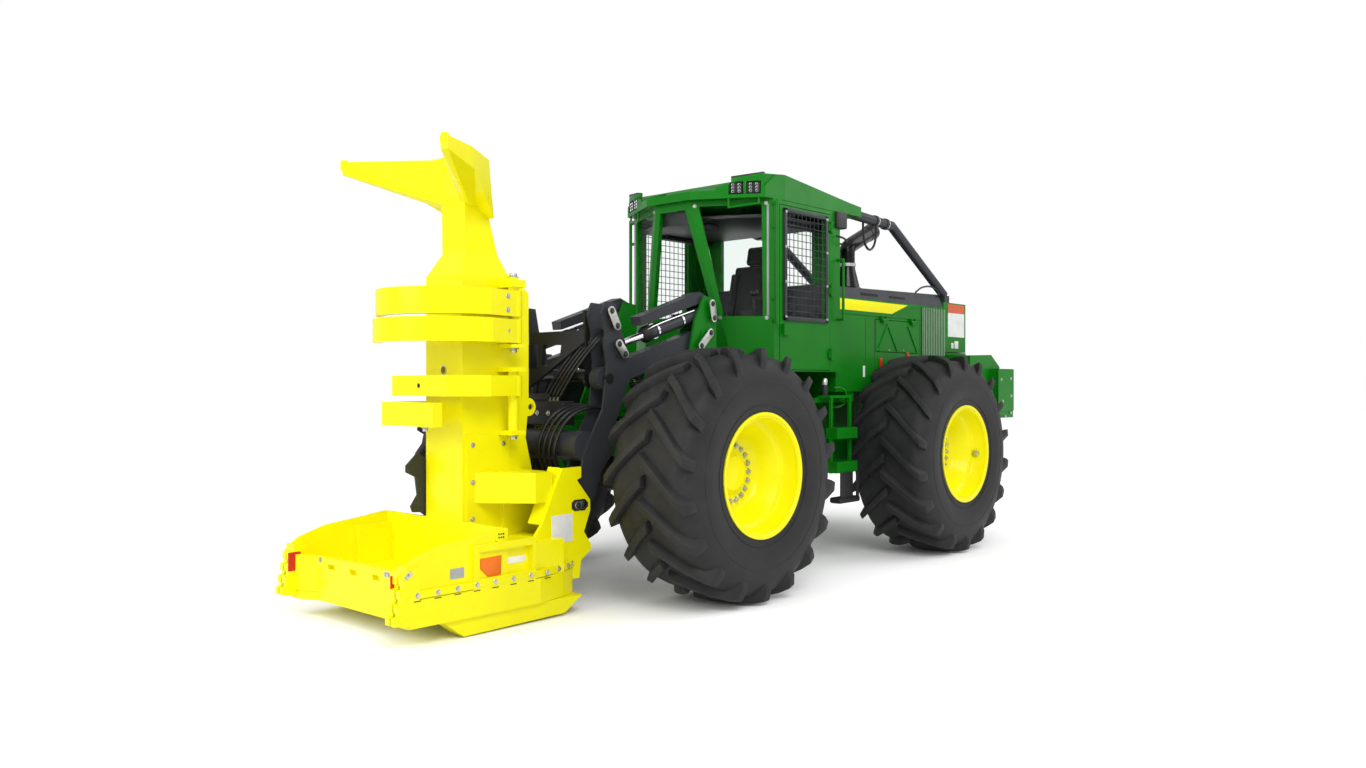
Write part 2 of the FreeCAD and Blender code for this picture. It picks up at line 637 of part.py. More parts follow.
ROOF_PLAN = [(ROOF_NOSE_X, ROOF_NOSE_HALF), ROOF_CORNER, (ROOF_CREST_X, ROOF_HALF), (ROOF_REAR, ROOF_HALF)]
ROOF_PLAN += [(x, -y) for x, y in reversed(ROOF_PLAN)]
roof_base = CAB_TOP + SEAT_GAP
roof_edge = plate_xy(ROOF_PLAN, roof_base, CAB_TOP + ROOF_EDGE_T)
roof_crown = plate_xz([(ROOF_REAR, roof_base), (ROOF_REAR, CAB_TOP + ROOF_TAIL_T),
                       (ROOF_REAR + 200, CAB_TOP + ROOF_TAIL_T + 18), (ROOF_CREST_X, ROOF_TOP),
                       (ROOF_CREST_X + 104, ROOF_TOP - 10), (600, CAB_TOP + ROOF_EDGE_T), (540, roof_base)],
                      -ROOF_HALF, ROOF_HALF).common(plate_xy(ROOF_PLAN, CAB_TOP, ROOF_TOP + 10))
pod_low = [roof_corner(POD_NEAR, roof_base, 0), roof_corner(POD_FAR, roof_base, 0),
           (ROOF_CREST_X, ROOF_HALF, roof_base), (420, 400, roof_base)]
pod_high = [roof_corner(POD_NEAR, ROOF_TOP - 111, -12), roof_corner(POD_FAR, ROOF_TOP - 16, -12),
            (ROOF_CREST_X, ROOF_HALF, ROOF_TOP), (420, 400, ROOF_TOP - 8)]
lamp_z0, lamp_z1 = CAB_TOP + 30, CAB_TOP + 132
recess = roof_panel(LAMP_NEAR, LAMP_FAR, lamp_z0, lamp_z1, -LAMP_RECESS, 20)
pod = skin(pod_low, pod_high)
hanger_at = [(POD_NEAR + 105, roof_base + 20), (POD_NEAR + 105, CAB_TOP - 70), (POD_FAR - 38, CAB_TOP - 45),
             (POD_FAR - 38, roof_base + 20)]
hanger = bent_tube([roof_corner(s, z, -16) for s, z in hanger_at], 9)
roof = fuse([roof_edge, roof_crown] + both(pod)).cut(recess).cut(mirrored(recess))
roof_pad = box(-90, 90, -110, 110, CAB_TOP + ROOF_TAIL_T, ROOF_PAD_Z)
roof = fuse([roof, roof_pad] + both(hanger))
for bx in (-60, 60):
    for by in (-80, 80):
        roof = roof.cut(pin_z(bx, by, ROOF_PAD_Z - 60, ROOF_PAD_Z + 5, ROOF_BOLT_R))
export("cab_roof", [roof])
lamps = []
cell = (LAMP_FAR - LAMP_NEAR - 2 * LEAF_GAP) / LAMP_CELLS
for k in range(LAMP_CELLS):
    s0 = LAMP_NEAR + LEAF_GAP + k * cell
    lamps += both(roof_panel(s0 + 3, s0 + cell - 3, lamp_z0 + 4, lamp_z1 - 4,
                             SEAT_GAP - LAMP_RECESS, -8))
export("roof_lamps", lamps)

# Doors: a frame with its window opening and a plain lower panel
door_y0 = CAB_HALF - DOOR_T + 12
door = box(DOOR_REAR, DOOR_FRONT, door_y0, CAB_HALF + 2, DOOR_BOTTOM, DOOR_TOP)
door = door.cut(box(DOOR_REAR + 75, DOOR_FRONT - 58, door_y0 - 10, CAB_HALF + 10, SILL_Z, DOOR_TOP - 50))
latch = box(DOOR_FRONT - 95, DOOR_FRONT - 25, CAB_HALF + 1, CAB_HALF + 30, SILL_Z - 140, SILL_Z - 50)
knuckle_room = fuse([k.cut(box(-900, 900, 0, CAB_HALF + 2, DOOR_BOTTOM - 100,
                                   DOOR_TOP + 100)) for k in door_knuckles])
left_door = fuse([door, latch, knuckle_room])
export("door_left", [left_door])
export("door_right", [mirrored(left_door)])

# Seat and controls
floor_z = CAB_BOTTOM + 50
seat_z = CAB_BOTTOM + 290
seat_base = box(-150, 150, -200, 200, floor_z + SEAT_GAP, seat_z)
cushion = box(-250, 270, -260, 260, seat_z, seat_z + 130)
backrest = loft([(-250, -240, seat_z + 130), (-130, -240, seat_z + 130), (-130, 240, seat_z + 130),
                 (-250, 240, seat_z + 130)],
                [(-360, -220, seat_z + 660), (-260, -220, seat_z + 660), (-260, 220, seat_z + 660),
                 (-360, 220, seat_z + 660)])
headrest = box(-355, -265, -130, 130, seat_z + 660, seat_z + 840)
export("cab_seat", [fuse([seat_base, cushion, backrest, headrest])])
console_z = CAB_BOTTOM + 510
console = box(-180, 320, 320, 470, floor_z + SEAT_GAP, console_z)
stick = fuse([pin_z(230, 395, console_z - 10, console_z + 140, 14),
              Part.makeSphere(34, V(230, 395, console_z + 150))])
panel = box(430, 520, -150, 150, floor_z + SEAT_GAP, SILL_Z - 80)
export("cab_controls", [fuse([console, stick]), mirrored(fuse([console, stick])), panel])

# --------------------------------------------------------- engine enclosure
cowl_side = plate_xz([(COWL_FRONT, COWL_BOTTOM), (COWL_REAR, COWL_BOTTOM), (COWL_REAR, COWL_SHOULDER),
                      (COWL_FRONT, COWL_SHOULDER)], COWL_HALF - COWL_WALL, COWL_HALF)
engine_hole = box(ENGINE_DOOR_REAR - LEAF_GAP, ENGINE_DOOR_FRONT + LEAF_GAP, COWL_HALF - 60, COWL_HALF + 20,
                  ENGINE_DOOR_Z0 - LEAF_GAP, ENGINE_DOOR_Z1 + LEAF_GAP)
cowl_side = cowl_side.cut(engine_hole)
front_wall = box(COWL_FRONT - COWL_WALL, COWL_FRONT, -COWL_HALF, COWL_HALF, COWL_BOTTOM, COWL_SHOULDER)
tail_box = box(TAIL_REAR + 40, COWL_REAR, -COWL_HALF + 10, COWL_HALF - 10, TAIL_BOTTOM, TAIL_TOP)
tail_box = tail_box.cut(box(TAIL_REAR, COWL_REAR + 100, -COWL_HALF + 35, COWL_HALF - 35,
                            TAIL_BOTTOM + 25, TAIL_TOP - 25))
cowl_floor = box(COWL_REAR, COWL_FRONT, RAIL_OUT_Y, COWL_HALF, COWL_BOTTOM, COWL_BOTTOM + 20)
LEAF_AXIS = (COWL_HALF + 20, ENGINE_DOOR_Z1 + 3)
leaf_pins, leaf_knuckles = [], []
for x in (ENGINE_DOOR_REAR + 120, ENGINE_DOOR_FRONT - 120):
    def along_x(x0, x1, radius):
        return Part.makeCylinder(radius, x1 - x0, V(x0, LEAF_AXIS[0], LEAF_AXIS[1]), V(1, 0, 0))
    leaf_pins.append(along_x(x - 50, x + 50, 7))
    for x0 in (x - 49, x + 31):
        leaf_pins.append(fuse([along_x(x0, x0 + 18, 12),
                               box(x0, x0 + 18, COWL_HALF, LEAF_AXIS[0] + 8, LEAF_AXIS[1] + 6,
                                   LEAF_AXIS[1] + 30)]))
    knuckle = fuse([along_x(x - 30, x + 30, 12),
                    box(x - 30, x + 30, COWL_HALF + 2, LEAF_AXIS[0] + 8, LEAF_AXIS[1] - 30,
                        LEAF_AXIS[1] - 6)])
    leaf_knuckles.append(knuckle.cut(along_x(x - 40, x + 40, 7 + SEAT_GAP)))
slat_pitch = (SLATS_FRONT - SLATS_REAR) / SLATS
slats = [box(SLATS_REAR + k * slat_pitch, SLATS_REAR + (k + 0.55) * slat_pitch, COWL_HALF - 1,
             COWL_HALF + 10, ENGINE_DOOR_Z0 - 25, COWL_SHOULDER - 12) for k in range(SLATS)]
fascia_z = ENGINE_DOOR_Z1 + 32
fascia = [box(SLATS_FRONT + 20, COWL_FRONT, COWL_HALF - 1, COWL_HALF + 8, fascia_z, fascia_z + 16),
          strap((-1430, fascia_z + 12), (SLATS_FRONT + 25, COWL_SHOULDER - 12), 8, COWL_HALF - 1,
                COWL_HALF + 8)]
cowl = fuse(both(fuse(leaf_pins)) + both(fuse([cowl_side] + slats + fascia)) + both(cowl_floor)
            + [front_wall, tail_box])
TAIL_AXIS = (TAIL_REAR - 18, -COWL_HALF + 12)
tail_fixed, tail_knuckles = [], []
for z in (TAIL_BOTTOM + 90, TAIL_TOP - 90):
    fixed = [pin_z(TAIL_AXIS[0], TAIL_AXIS[1], z - 48, z + 48, 7)]
    for z0 in (z - 47, z + 31):
        fixed.append(fuse([pin_z(TAIL_AXIS[0], TAIL_AXIS[1], z0, z0 + 16, 12),
                           box(TAIL_AXIS[0], TAIL_REAR + 60, -COWL_HALF, -COWL_HALF + 12, z0, z0 + 16)]))
    tail_fixed.append(fuse(fixed))
    knuckle = fuse([pin_z(TAIL_AXIS[0], TAIL_AXIS[1], z - 30, z + 30, 12),
                    box(TAIL_AXIS[0] - 6, TAIL_REAR + 5, TAIL_AXIS[1], TAIL_AXIS[1] + 40, z - 30, z + 30)])
    tail_knuckles.append(knuckle.cut(pin_z(TAIL_AXIS[0], TAIL_AXIS[1], z - 40, z + 40, 7 + SEAT_GAP)))
export("engine_cowl", [fuse([cowl] + tail_fixed)])
leaf_skin = box(ENGINE_DOOR_REAR, ENGINE_DOOR_FRONT, COWL_HALF - 22, COWL_HALF + 3,
                ENGINE_DOOR_Z0, ENGINE_DOOR_Z1)
leaf_low, leaf_high = ENGINE_DOOR_Z0 + 12, ENGINE_DOOR_Z1 - 40
ribs = [strap((ENGINE_DOOR_FRONT - 30, leaf_low), (ENGINE_DOOR_FRONT - 200, leaf_high), 9, COWL_HALF,
              COWL_HALF + 12),
        strap((ENGINE_DOOR_FRONT - 370, leaf_low), (ENGINE_DOOR_FRONT - 200, leaf_high), 9, COWL_HALF,
              COWL_HALF + 12),
        strap((ENGINE_DOOR_REAR + 30, leaf_low), (ENGINE_DOOR_REAR + 200, leaf_high), 9, COWL_HALF,
              COWL_HALF + 12)]
leaf = fuse([leaf_skin] + ribs + leaf_knuckles)
export("engine_door_left", [leaf])
export("engine_door_right", [mirrored(leaf)])
hood_section_front = [(COWL_FRONT, -COWL_HALF + 5, COWL_SHOULDER + SEAT_GAP),
                      (COWL_FRONT, COWL_HALF - 5, COWL_SHOULDER + SEAT_GAP),
                      (COWL_FRONT, COWL_HALF - 60, HOOD_FRONT_Z),
                      (COWL_FRONT, -COWL_HALF + 60, HOOD_FRONT_Z)]
hood_section_rear = [(COWL_REAR + 20, -COWL_HALF + 5, COWL_SHOULDER + SEAT_GAP),
                     (COWL_REAR + 20, COWL_HALF - 5, COWL_SHOULDER + SEAT_GAP),
                     (COWL_REAR + 20, COWL_HALF - 60, HOOD_REAR_Z),
                     (COWL_REAR + 20, -COWL_HALF + 60, HOOD_REAR_Z)]
stack_hole = pin_z(STACK_X, STACK_Y, 2200, 2500, STACK_R + SEAT_GAP)
export("hood_top", [loft(hood_section_front, hood_section_rear).cut(stack_hole)])
tail_leaf = box(TAIL_REAR, TAIL_REAR + 40 - LEAF_GAP, -COWL_HALF + 20, COWL_HALF - 15,
                TAIL_BOTTOM, TAIL_TOP)
export("rear_grille", [fuse([tail_leaf] + tail_knuckles)])
engine = box(-1900, -950, -RAIL_IN_Y - 30, RAIL_IN_Y + 30, RAIL_TOP + 60, COWL_SHOULDER - 120)
radiator = box(COWL_REAR + 10, COWL_REAR + 280, -600, 600, COWL_BOTTOM + 20, COWL_SHOULDER - 30)
export("engine_block", [engine, radiator])

bumper_side = [(BUMPER_FRONT, BUMPER_BOTTOM + 70), (BUMPER_FRONT - 100, BUMPER_BOTTOM),
               (BUMPER_REAR, BUMPER_BOTTOM), (BUMPER_REAR, BUMPER_TOP), (BUMPER_FRONT, BUMPER_TOP)]
tow_plate = box(BUMPER_REAR, BUMPER_REAR + 260, -110, 110, BUMPER_BOTTOM - TOW_PLATE_T, BUMPER_BOTTOM + 5)
tow_hole = pin_z(BUMPER_REAR + 70, 0, BUMPER_BOTTOM - TOW_PLATE_T - 5, BUMPER_BOTTOM + 60, TOW_HOLE_R)
saddle = plate_xz([(COWL_REAR - LEAF_GAP, RAIL_TOP + 70), (COWL_REAR - LEAF_GAP, 1790),
                   (BUMPER_FRONT - 30, TAIL_BOTTOM - 27), (BUMPER_FRONT - 224, 1683),
                   (BUMPER_FRONT - 224, 1500), (BUMPER_FRONT - 20, RAIL_TOP + 70)],
                  -BUMPER_HALF + 90, BUMPER_HALF - 90)
end_plate = box(BUMPER_REAR + 5, BUMPER_FRONT + 12, BUMPER_HALF - 2, BUMPER_HALF + 10,
                BUMPER_BOTTOM + 70, BUMPER_TOP - 5)
weight = fuse([plate_xz(bumper_side, -BUMPER_HALF, BUMPER_HALF), tow_plate, saddle] + both(end_plate))
pin_pocket = box(BUMPER_REAR - 10, BUMPER_REAR + 150, -80, 80, BUMPER_BOTTOM, BUMPER_BOTTOM + 160)
export("counterweight", [weight.cut(pin_pocket).cut(tow_hole)])

RISER = [(ROOF_REAR, RISER_Y, CAB_TOP + 42), (-1493, RISER_Y, CAB_TOP + 10),
         (-2509, RISER_Y, TAIL_TOP + 80)]
riser = bent_tube(RISER, RISER_R)
riser = riser.cut(box(ROOF_REAR, 0, -900, 900, CAB_TOP - 85, CAB_TOP + 315))
riser_parts = [riser, box(-2560, -2460, RISER_Y - 40, RISER_Y + 40, TAIL_TOP, TAIL_TOP + 70)]
for x in (-1180, -1360):
    p = along((RISER[0][0], RISER[0][2]), (RISER[1][0], RISER[1][2]), ROOF_REAR - x)
    q = along(p, (RISER[1][0], RISER[1][2]), 26)
    riser_parts.append(rod((p[0], RISER_Y, p[1]), (q[0], RISER_Y, q[1]), RISER_R + 7))
export("limb_risers", both(fuse(riser_parts)))
pipe_r = STACK_R / 2
pipe = bent_tube([(STACK_X, STACK_Y, COWL_SHOULDER + 290), (STACK_X, STACK_Y, CAB_TOP - 225),
                  (STACK_X - 60, STACK_Y, CAB_TOP - 120), (-1690, STACK_Y, CAB_TOP + 42)], pipe_r)
outlet = rod((-1633, STACK_Y, CAB_TOP + 5), (-1720, STACK_Y, CAB_TOP + 62), pipe_r - 6)
exhaust = fuse([pin_z(STACK_X, STACK_Y, COWL_SHOULDER + 20, HOOD_REAR_Z, STACK_R),
                Part.makeCone(STACK_R, pipe_r, 240, V(STACK_X, STACK_Y, HOOD_REAR_Z)),
                pin_z(STACK_X, STACK_Y, HOOD_REAR_Z + 230, HOOD_REAR_Z + 262, pipe_r + 7), pipe])
export("exhaust", [exhaust.cut(outlet)])

step_parts = []
for z in (1095, 810):
    step_parts.append(box(-470, -160, 850, 960, z - 46, z + 46))
step_parts.append(box(-470, -440, 880, 900, 520, RAIL_TOP + 120))
step_parts.append(box(-190, -160, 880, 900, 760, RAIL_TOP + 120))
step_parts.append(box(-480, -150, 770, 900, RAIL_TOP + 100, RAIL_TOP + 120))
step = fuse(step_parts)
export("side_steps", both(step))
rail = bent_tube([(-430, CAB_HALF, SILL_Z + 20), (-430, CAB_HALF + 60, SILL_Z + 20),
                  (-430, CAB_HALF + 60, SILL_Z + 530), (-430, CAB_HALF, SILL_Z + 530)], 12)
post_x = CAB_POST_X + 9
post_y = CAB_HALF + 36
post = [pin_z(post_x, post_y, SILL_Z - 60, CAB_TOP - 12, 14)]
for z in (SILL_Z - 20, SILL_Z + 150, CAB_TOP - 225, CAB_TOP - 40):
    post.append(box(post_x - 12, post_x + 8, CAB_HALF - 14, post_y, z - 12, z + 12))
post = fuse(post).cut(plate_xy(CAB_PLAN, CAB_BOTTOM, CAB_TOP))
export("grab_rails", both(rail) + both(post))

# ------------------------------------------------------------ boom and links
arm_y0 = LINK_MID_Y - LIFT_ARM_T / 2
arm_y1 = LINK_MID_Y + LIFT_ARM_T / 2


def ringed_bar(p, q, half, y0, y1, boss_r, hole_r):
    """Bar with a round boss and a pin hole at each end."""
    bar = fuse([strap(p, q, half, y0, y1), pin_y(p[0], p[1], y0, y1, boss_r),
                pin_y(q[0], q[1], y0, y1, boss_r)])
    holes = [pin_y(x, z, y0 - 5, y1 + 5, hole_r) for x, z in (p, q)]
    return bar.cut(holes[0]).cut(holes[1])


PIN_HOLE_R = LINK_PIN_R + SEAT_GAP
BUSH_R = LINK_PIN_R + 10
lift_bar = ringed_bar(TOWER_LOW, ELBOW, LIFT_ARM_H / 2, arm_y0, arm_y1, 82, PIN_HOLE_R)
cross_at = along(TOWER_LOW, ELBOW, 560)
cross_tube = pin_y(cross_at[0], cross_at[1], -arm_y0 - 5, arm_y0 + 5, 50)
rod_lugs = []
for y in (LIFT_CYL_Y - 86, LIFT_CYL_Y + 66):
    rod_lugs += both(fuse([strap(cross_at, LIFT_EYE, 45, y, y + 20),
                           pin_y(LIFT_EYE[0], LIFT_EYE[1], y, y + 20, 50)]))
export("lift_arms", [fuse(both(lift_bar) + [cross_tube] + rod_lugs)])


def cylinder(foot, eye, y, radius, rod_r, barrel_len, hole_r, eye_r, width):
    """Barrel and rod of one cylinder: the barrel's foot turns on a pin and
    the rod carries its own short pin at the eye."""
    y0, y1 = y - width / 2, y + width / 2
    start = along(foot, eye, eye_r - 10)
    end = along(foot, eye, barrel_len)
    barrel = fuse([pin_y(foot[0], foot[1], y0, y1, eye_r),
                   rod((start[0], y, start[1]), (end[0], y, end[1]), radius)])
    bore_start = along(foot, eye, eye_r + 25)
    bore_end = along(foot, eye, barrel_len + 10)
    barrel = barrel.cut(pin_y(foot[0], foot[1], y0 - 5, y1 + 5, hole_r))
    barrel = barrel.cut(rod((bore_start[0], y, bore_start[1]), (bore_end[0], y, bore_end[1]),
                            rod_r + SEAT_GAP))
    rod_start = along(foot, eye, barrel_len - 60)
    tip = fuse([rod((rod_start[0], y, rod_start[1]), (eye[0], y, eye[1]), rod_r),
                pin_y(eye[0], eye[1], y0, y1, eye_r - 8)])
    return barrel, tip


tilt_barrel, tilt_rod = cylinder(TOWER_UP, KNUCKLE_PIN, LINK_MID_Y, TILT_BARREL_R, TILT_ROD_R,
                                 700, BUSH_R + SEAT_GAP, 58, 66)


def link_frame(points, y0, y1):
    """Side-view plate drawn along the tilt cylinder: (distance from the tower
    pin, height above the cylinder's axis)."""
    far = along(TOWER_UP, KNUCKLE_PIN, 1)
    ux, uz = far[0] - TOWER_UP[0], far[1] - TOWER_UP[1]
    return plate_xz([(TOWER_UP[0] + s * ux - n * uz, TOWER_UP[1] + s * uz + n * ux) for s, n in points],
                    y0, y1)


# The flat box over each tilt cylinder hangs on a bush around the tower pin.
guard_box = link_frame([(-28, 0), (-28, 105), (55, 168), (750, 150), (757, 84), (88, 84), (30, 80),
                        (30, 0)], LINK_MID_Y - 52, LINK_MID_Y + 52)
eye_room = link_frame([(-60, -60), (-60, 72), (70, 72), (70, -60)], LINK_MID_Y - 41, LINK_MID_Y + 41)
bush = pin_y(TOWER_UP[0], TOWER_UP[1], LINK_MID_Y - 52, LINK_MID_Y + 52, BUSH_R)
guard = fuse([guard_box.cut(eye_room), bush])
guard = guard.cut(pin_y(TOWER_UP[0], TOWER_UP[1], arm_y0 - 20, arm_y1 + 20, PIN_HOLE_R))
export("tilt_barrels", both(tilt_barrel))
export("tilt_rods", both(tilt_rod))
lift_barrel, lift_rod = cylinder(LIFT_FOOT, LIFT_EYE, LIFT_CYL_Y, LIFT_BARREL_R, LIFT_ROD_R,
                                 440, 30 + SEAT_GAP, 55, 120)
export("lift_barrels", both(lift_barrel))
export("lift_rods", both(lift_rod))
export("tilt_guards", both(guard))
# Hose frame between the carrier plates: it hangs on the elbow pins, so it
# stays upright while the boom rises and the head tilts.
cheek_out = plate_in - 10
hose_cheek = fuse([plate_xz([(ELBOW[0] - 60, ELBOW[1] - 40), (ELBOW[0] + 60, ELBOW[1] - 60),
                             (ELBOW[0] + 75, ELBOW[1] + 480), (ELBOW[0] + 20, ELBOW[1] + 480),
                             (ELBOW[0] - 45, ELBOW[1] + 120)], cheek_out - 25, cheek_out),
                   pin_y(ELBOW[0], ELBOW[1], cheek_out - 25, cheek_out, 80)])
BOW_X = 2305
BOW_TOP = 1880
bow_plan = [(ELBOW[0] + 25, cheek_out), (ELBOW[0] + 60, cheek_out), (BOW_X + 12, 0), (BOW_X - 16, 0)]
bow_face = [(0, BOW_TOP - 394), (cheek_out, BOW_TOP - 60), (cheek_out, BOW_TOP + 12), (0, BOW_TOP - 8)]
bow_side = plate_xy(bow_plan, BOW_TOP - 420, BOW_TOP + 20)
bow_side = bow_side.common(plate_yz(bow_face, ELBOW[0], BOW_X + 50))
bow_side = bow_side.cut(plate_yz([(76, BOW_TOP - 235), (110, BOW_TOP - 240), (188, BOW_TOP - 165),
                                  (195, BOW_TOP - 95), (85, BOW_TOP - 95)], ELBOW[0], BOW_X + 50))
bow_hole = box(ELBOW[0], BOW_X + 50, -55, 55, BOW_TOP - 260, BOW_TOP - 90)
elbow_pin = pin_y(ELBOW[0], ELBOW[1], cheek_out - 30, plate_out + SIDE_PLATE_T + 8, LINK_PIN_R)
hose_bar = pin_y(ELBOW[0] + 45, ELBOW[1] + 20, -cheek_out, cheek_out, 45)
hose_frame = fuse(both(bow_side) + both(hose_cheek) + both(elbow_pin) + [hose_bar])
export("elbow_frame", [hose_frame.cut(bow_hole)])

CARRIER_OUTLINE = [(2060, 2083), (1960, 2078), (1925, 1910), (1870, 1812), (1843, 1703), (1817, 1563),
                   (1852, 1493), (1930, 1310), (1970, 1216), (1991, 1020), (2106, 899), (2150, 760),
                   (2235, 640), (2370, 620), (2400, 740), (2300, 860), (2263, 1024), (2198, 1146),
                   (2085, 1330), (2062, 1500), (2045, 1660), (2072, 1777), (2060, 1856), (2100, 2000)]
carrier_parts = [p.cut(pin_y(ELBOW[0], ELBOW[1], -900, 900, PIN_HOLE_R))
                 for p in side_pair(CARRIER_OUTLINE)]
head_cross = both(pin_y(HEAD_PIN[0], HEAD_PIN[1], plate_in, LUG_OUT_Y + 20, 40))
torque_tube = pin_y(2230, 1080, -plate_out, plate_out, 105)
carrier_pins = []
for px, pz in (KNUCKLE_HIGH, KNUCKLE_PIN):
    carrier_pins += both(pin_plate(px, pz))
butt_plate = plate_xz([(MAST_FRONT - 70, 620), (MAST_FRONT, 620), (MAST_FRONT + 32, 645),
                       (MAST_FRONT + 95, 650), (MAST_FRONT + 111, 690), (MAST_FRONT + 60, 765),
                       (MAST_FRONT + 76, 885),
                       (MAST_FRONT + 146, 920), (MAST_FRONT + 146, 965), (MAST_FRONT + 55, 1050),
                       (MAST_FRONT, 1005), (MAST_FRONT - 70, 1005)],
                      -MAST_HALF - 26, -MAST_HALF - 12 - SEAT_GAP)
export("head_carrier", [fuse(carrier_parts + head_cross + [torque_tube] + carrier_pins), butt_plate])

# -------------------------------------------------------------- felling head
mast_low = [(MAST_REAR, -MAST_HALF), (MAST_FRONT, -MAST_HALF), (MAST_FRONT, MAST_HALF),
            (MAST_REAR, MAST_HALF)]
mast_column = plate_xy(mast_low, MAST_FOOT_Z, MAST_SHOULDER_Z)
mast_column = mast_column.cut(box(MAST_REAR + MAST_WALL, MAST_FRONT - MAST_WALL,
                                  MAST_WALL - MAST_HALF, MAST_HALF - MAST_WALL,
                                  MAST_FOOT_Z + MAST_WALL, MAST_SHOULDER_Z - MAST_WALL))
back_outline = [(MAST_REAR + 10, 620), (MAST_BACK - 10, 650), (MAST_BACK - 42, 860), (MAST_BACK + 26, 1140),
                (MAST_BACK, 1400), (MAST_BACK, 2130), (MAST_REAR - 40, 2230), (MAST_REAR + 10, 2250)]
back = fuse([plate_xz(back_outline, MAST_HALF - MAST_WALL, MAST_HALF),
             pin_y(MAST_BACK, 1350, MAST_HALF - MAST_WALL, MAST_HALF, 62)])
back = back.cut(pin_y(MAST_BACK - 22, 1350, 0, 2 * MAST_HALF, 24))
side_cover = plate_xz([(MAST_REAR + 5, 1180), (MAST_FRONT - 30, 1180), (MAST_FRONT - 30, 570),
                       (MAST_FRONT - 60, 535), (MAST_REAR + 40, 535), (MAST_REAR + 5, 570)],
                      MAST_HALF - 1, MAST_HALF + 12)
neck_mid, neck_top = MAST_SHOULDER_Z + 157, FORK_Z - 60
neck = loft([(MAST_REAR, -MAST_HALF, MAST_SHOULDER_Z), (MAST_FRONT, -MAST_HALF, MAST_SHOULDER_Z),
             (MAST_FRONT, MAST_HALF, MAST_SHOULDER_Z), (MAST_REAR, MAST_HALF, MAST_SHOULDER_Z)],
            [(MAST_REAR + 40, -MAST_NECK_HALF, neck_mid), (MAST_FRONT - 80, -MAST_NECK_HALF, neck_mid),
             (MAST_FRONT - 80, MAST_NECK_HALF, neck_mid), (MAST_REAR + 40, MAST_NECK_HALF, neck_mid)],
            [(MAST_FRONT - 180, -MAST_NECK_HALF, neck_top), (MAST_FRONT - 70, -MAST_NECK_HALF, neck_top),
             (MAST_FRONT - 70, MAST_NECK_HALF, neck_top), (MAST_FRONT - 180, MAST_NECK_HALF, neck_top)])
fork_x, fork_y = FORK_TIP
fork_top = [(MAST_FRONT - 190, 0, FORK_Z - 20), (MAST_FRONT + 40, 0, FORK_Z), (MAST_FRONT + 45, 65, FORK_Z),
            (fork_x, fork_y - 20, FORK_Z), (fork_x - 25, fork_y + 25, FORK_Z),
            (MAST_FRONT + 110, 460, FORK_Z), (MAST_FRONT - 145, 295, FORK_Z - 20)]
fork_low = [(MAST_REAR + 115, 0, FORK_Z - 370), (MAST_FRONT - 95, 0, FORK_Z - 290),
            (MAST_FRONT - 95, 60, FORK_Z - 290), (fork_x - 10, fork_y - 20, FORK_Z - 80),
            (fork_x - 30, fork_y + 20, FORK_Z - 80), (MAST_FRONT + 70, 430, FORK_Z - 130),
            (MAST_REAR + 115, 190, FORK_Z - 375)]
horn = fuse([skin(fork_low, fork_top),
             box(fork_x - 44, fork_x - 12, fork_y - 24, fork_y + 16, FORK_Z - 50, FORK_Z + 16)])
pin_tower = []
for z0, z1 in ((1748, 1772), (2150, 2200), (1590, 1620), (1170, 1200)):
    pin_tower.append(box(ARM_PIN_X - 60, ARM_PIN_X + 60, MAST_HALF - 5, ARM_PIN_Y + 60, z0, z1))
pin_tower.append(pin_z(ARM_PIN_X, ARM_PIN_Y, 1748, 2215, 34))
pin_tower.append(pin_z(ARM_PIN_X, ARM_PIN_Y, 1170, 1620, 34))
back_tie = box(MAST_BACK + 20, MAST_BACK + 45, 10 - MAST_HALF, MAST_HALF - 10, 1350, 2080)
mast = fuse([mast_column, neck, back_tie] + both(back) + both(side_cover) + both(horn)
            + both(fuse(pin_tower)))
sight_hole = rod((MAST_BACK, 0, 1600), (MAST_FRONT + 20, 0, 1600), 26)
export("head_mast", [mast.cut(sight_hole)])

wall_y = TRAY_HALF - TRAY_SKIN
TRAY_EDGE = [(TRAY_FRONT, 0), (2800, 0), (2560, -60), (2440, -110), (TRAY_REAR, -165)]
tray_edge_in = [(x, wall_y + y) for x, y in TRAY_EDGE]
tray_edge_out = [(x, TRAY_HALF + y) for x, y in TRAY_EDGE]
tray_plan = tray_edge_in + [(TRAY_REAR, 0), (TRAY_FRONT - 70, 0), (TRAY_FRONT - 70, 430), (TRAY_FRONT, 600)]
tray = fuse(both(plate_xy(tray_plan, TRAY_BOTTOM, TRAY_FLOOR)))
saw_room = pin_z(SAW_X, 0, SAW_Z - 25, SAW_Z + 25, SAW_R + 20)
tray = tray.cut(saw_room.cut(pin_z(SAW_X, 0, 0, TRAY_FLOOR + 50, SAW_BOSS_R)))
skirt = plate_xy(tray_edge_out + tray_edge_in[::-1], TRAY_BOTTOM + 5, TRAY_FLOOR - 5)
bulkhead_x = MAST_FRONT + SEAT_GAP
side_wall = plate_xz([(TRAY_FRONT, TRAY_FLOOR - 5), (TRAY_FRONT + 30, 460), (TRAY_FRONT - 50, 510),
                      (3520, 567), (3280, 594), (3090, 620), (bulkhead_x, 620), (bulkhead_x, TRAY_FLOOR - 5)],
                     wall_y - TRAY_SKIN, wall_y)
bulkhead = box(bulkhead_x, bulkhead_x + 22, -wall_y + 5, wall_y - 5, TRAY_FLOOR - 5, 620)
housing = box(2560, bulkhead_x + 5, MAST_HALF + SEAT_GAP, wall_y - TRAY_SKIN, TRAY_FLOOR - 5, 500)
housing = housing.cut(box(2585, bulkhead_x - 20, MAST_HALF + 25, wall_y - 50, TRAY_FLOOR, 480))
recess_block = box(2835, 3310, wall_y - 85, TRAY_HALF, TRAY_FLOOR - 5, 545)
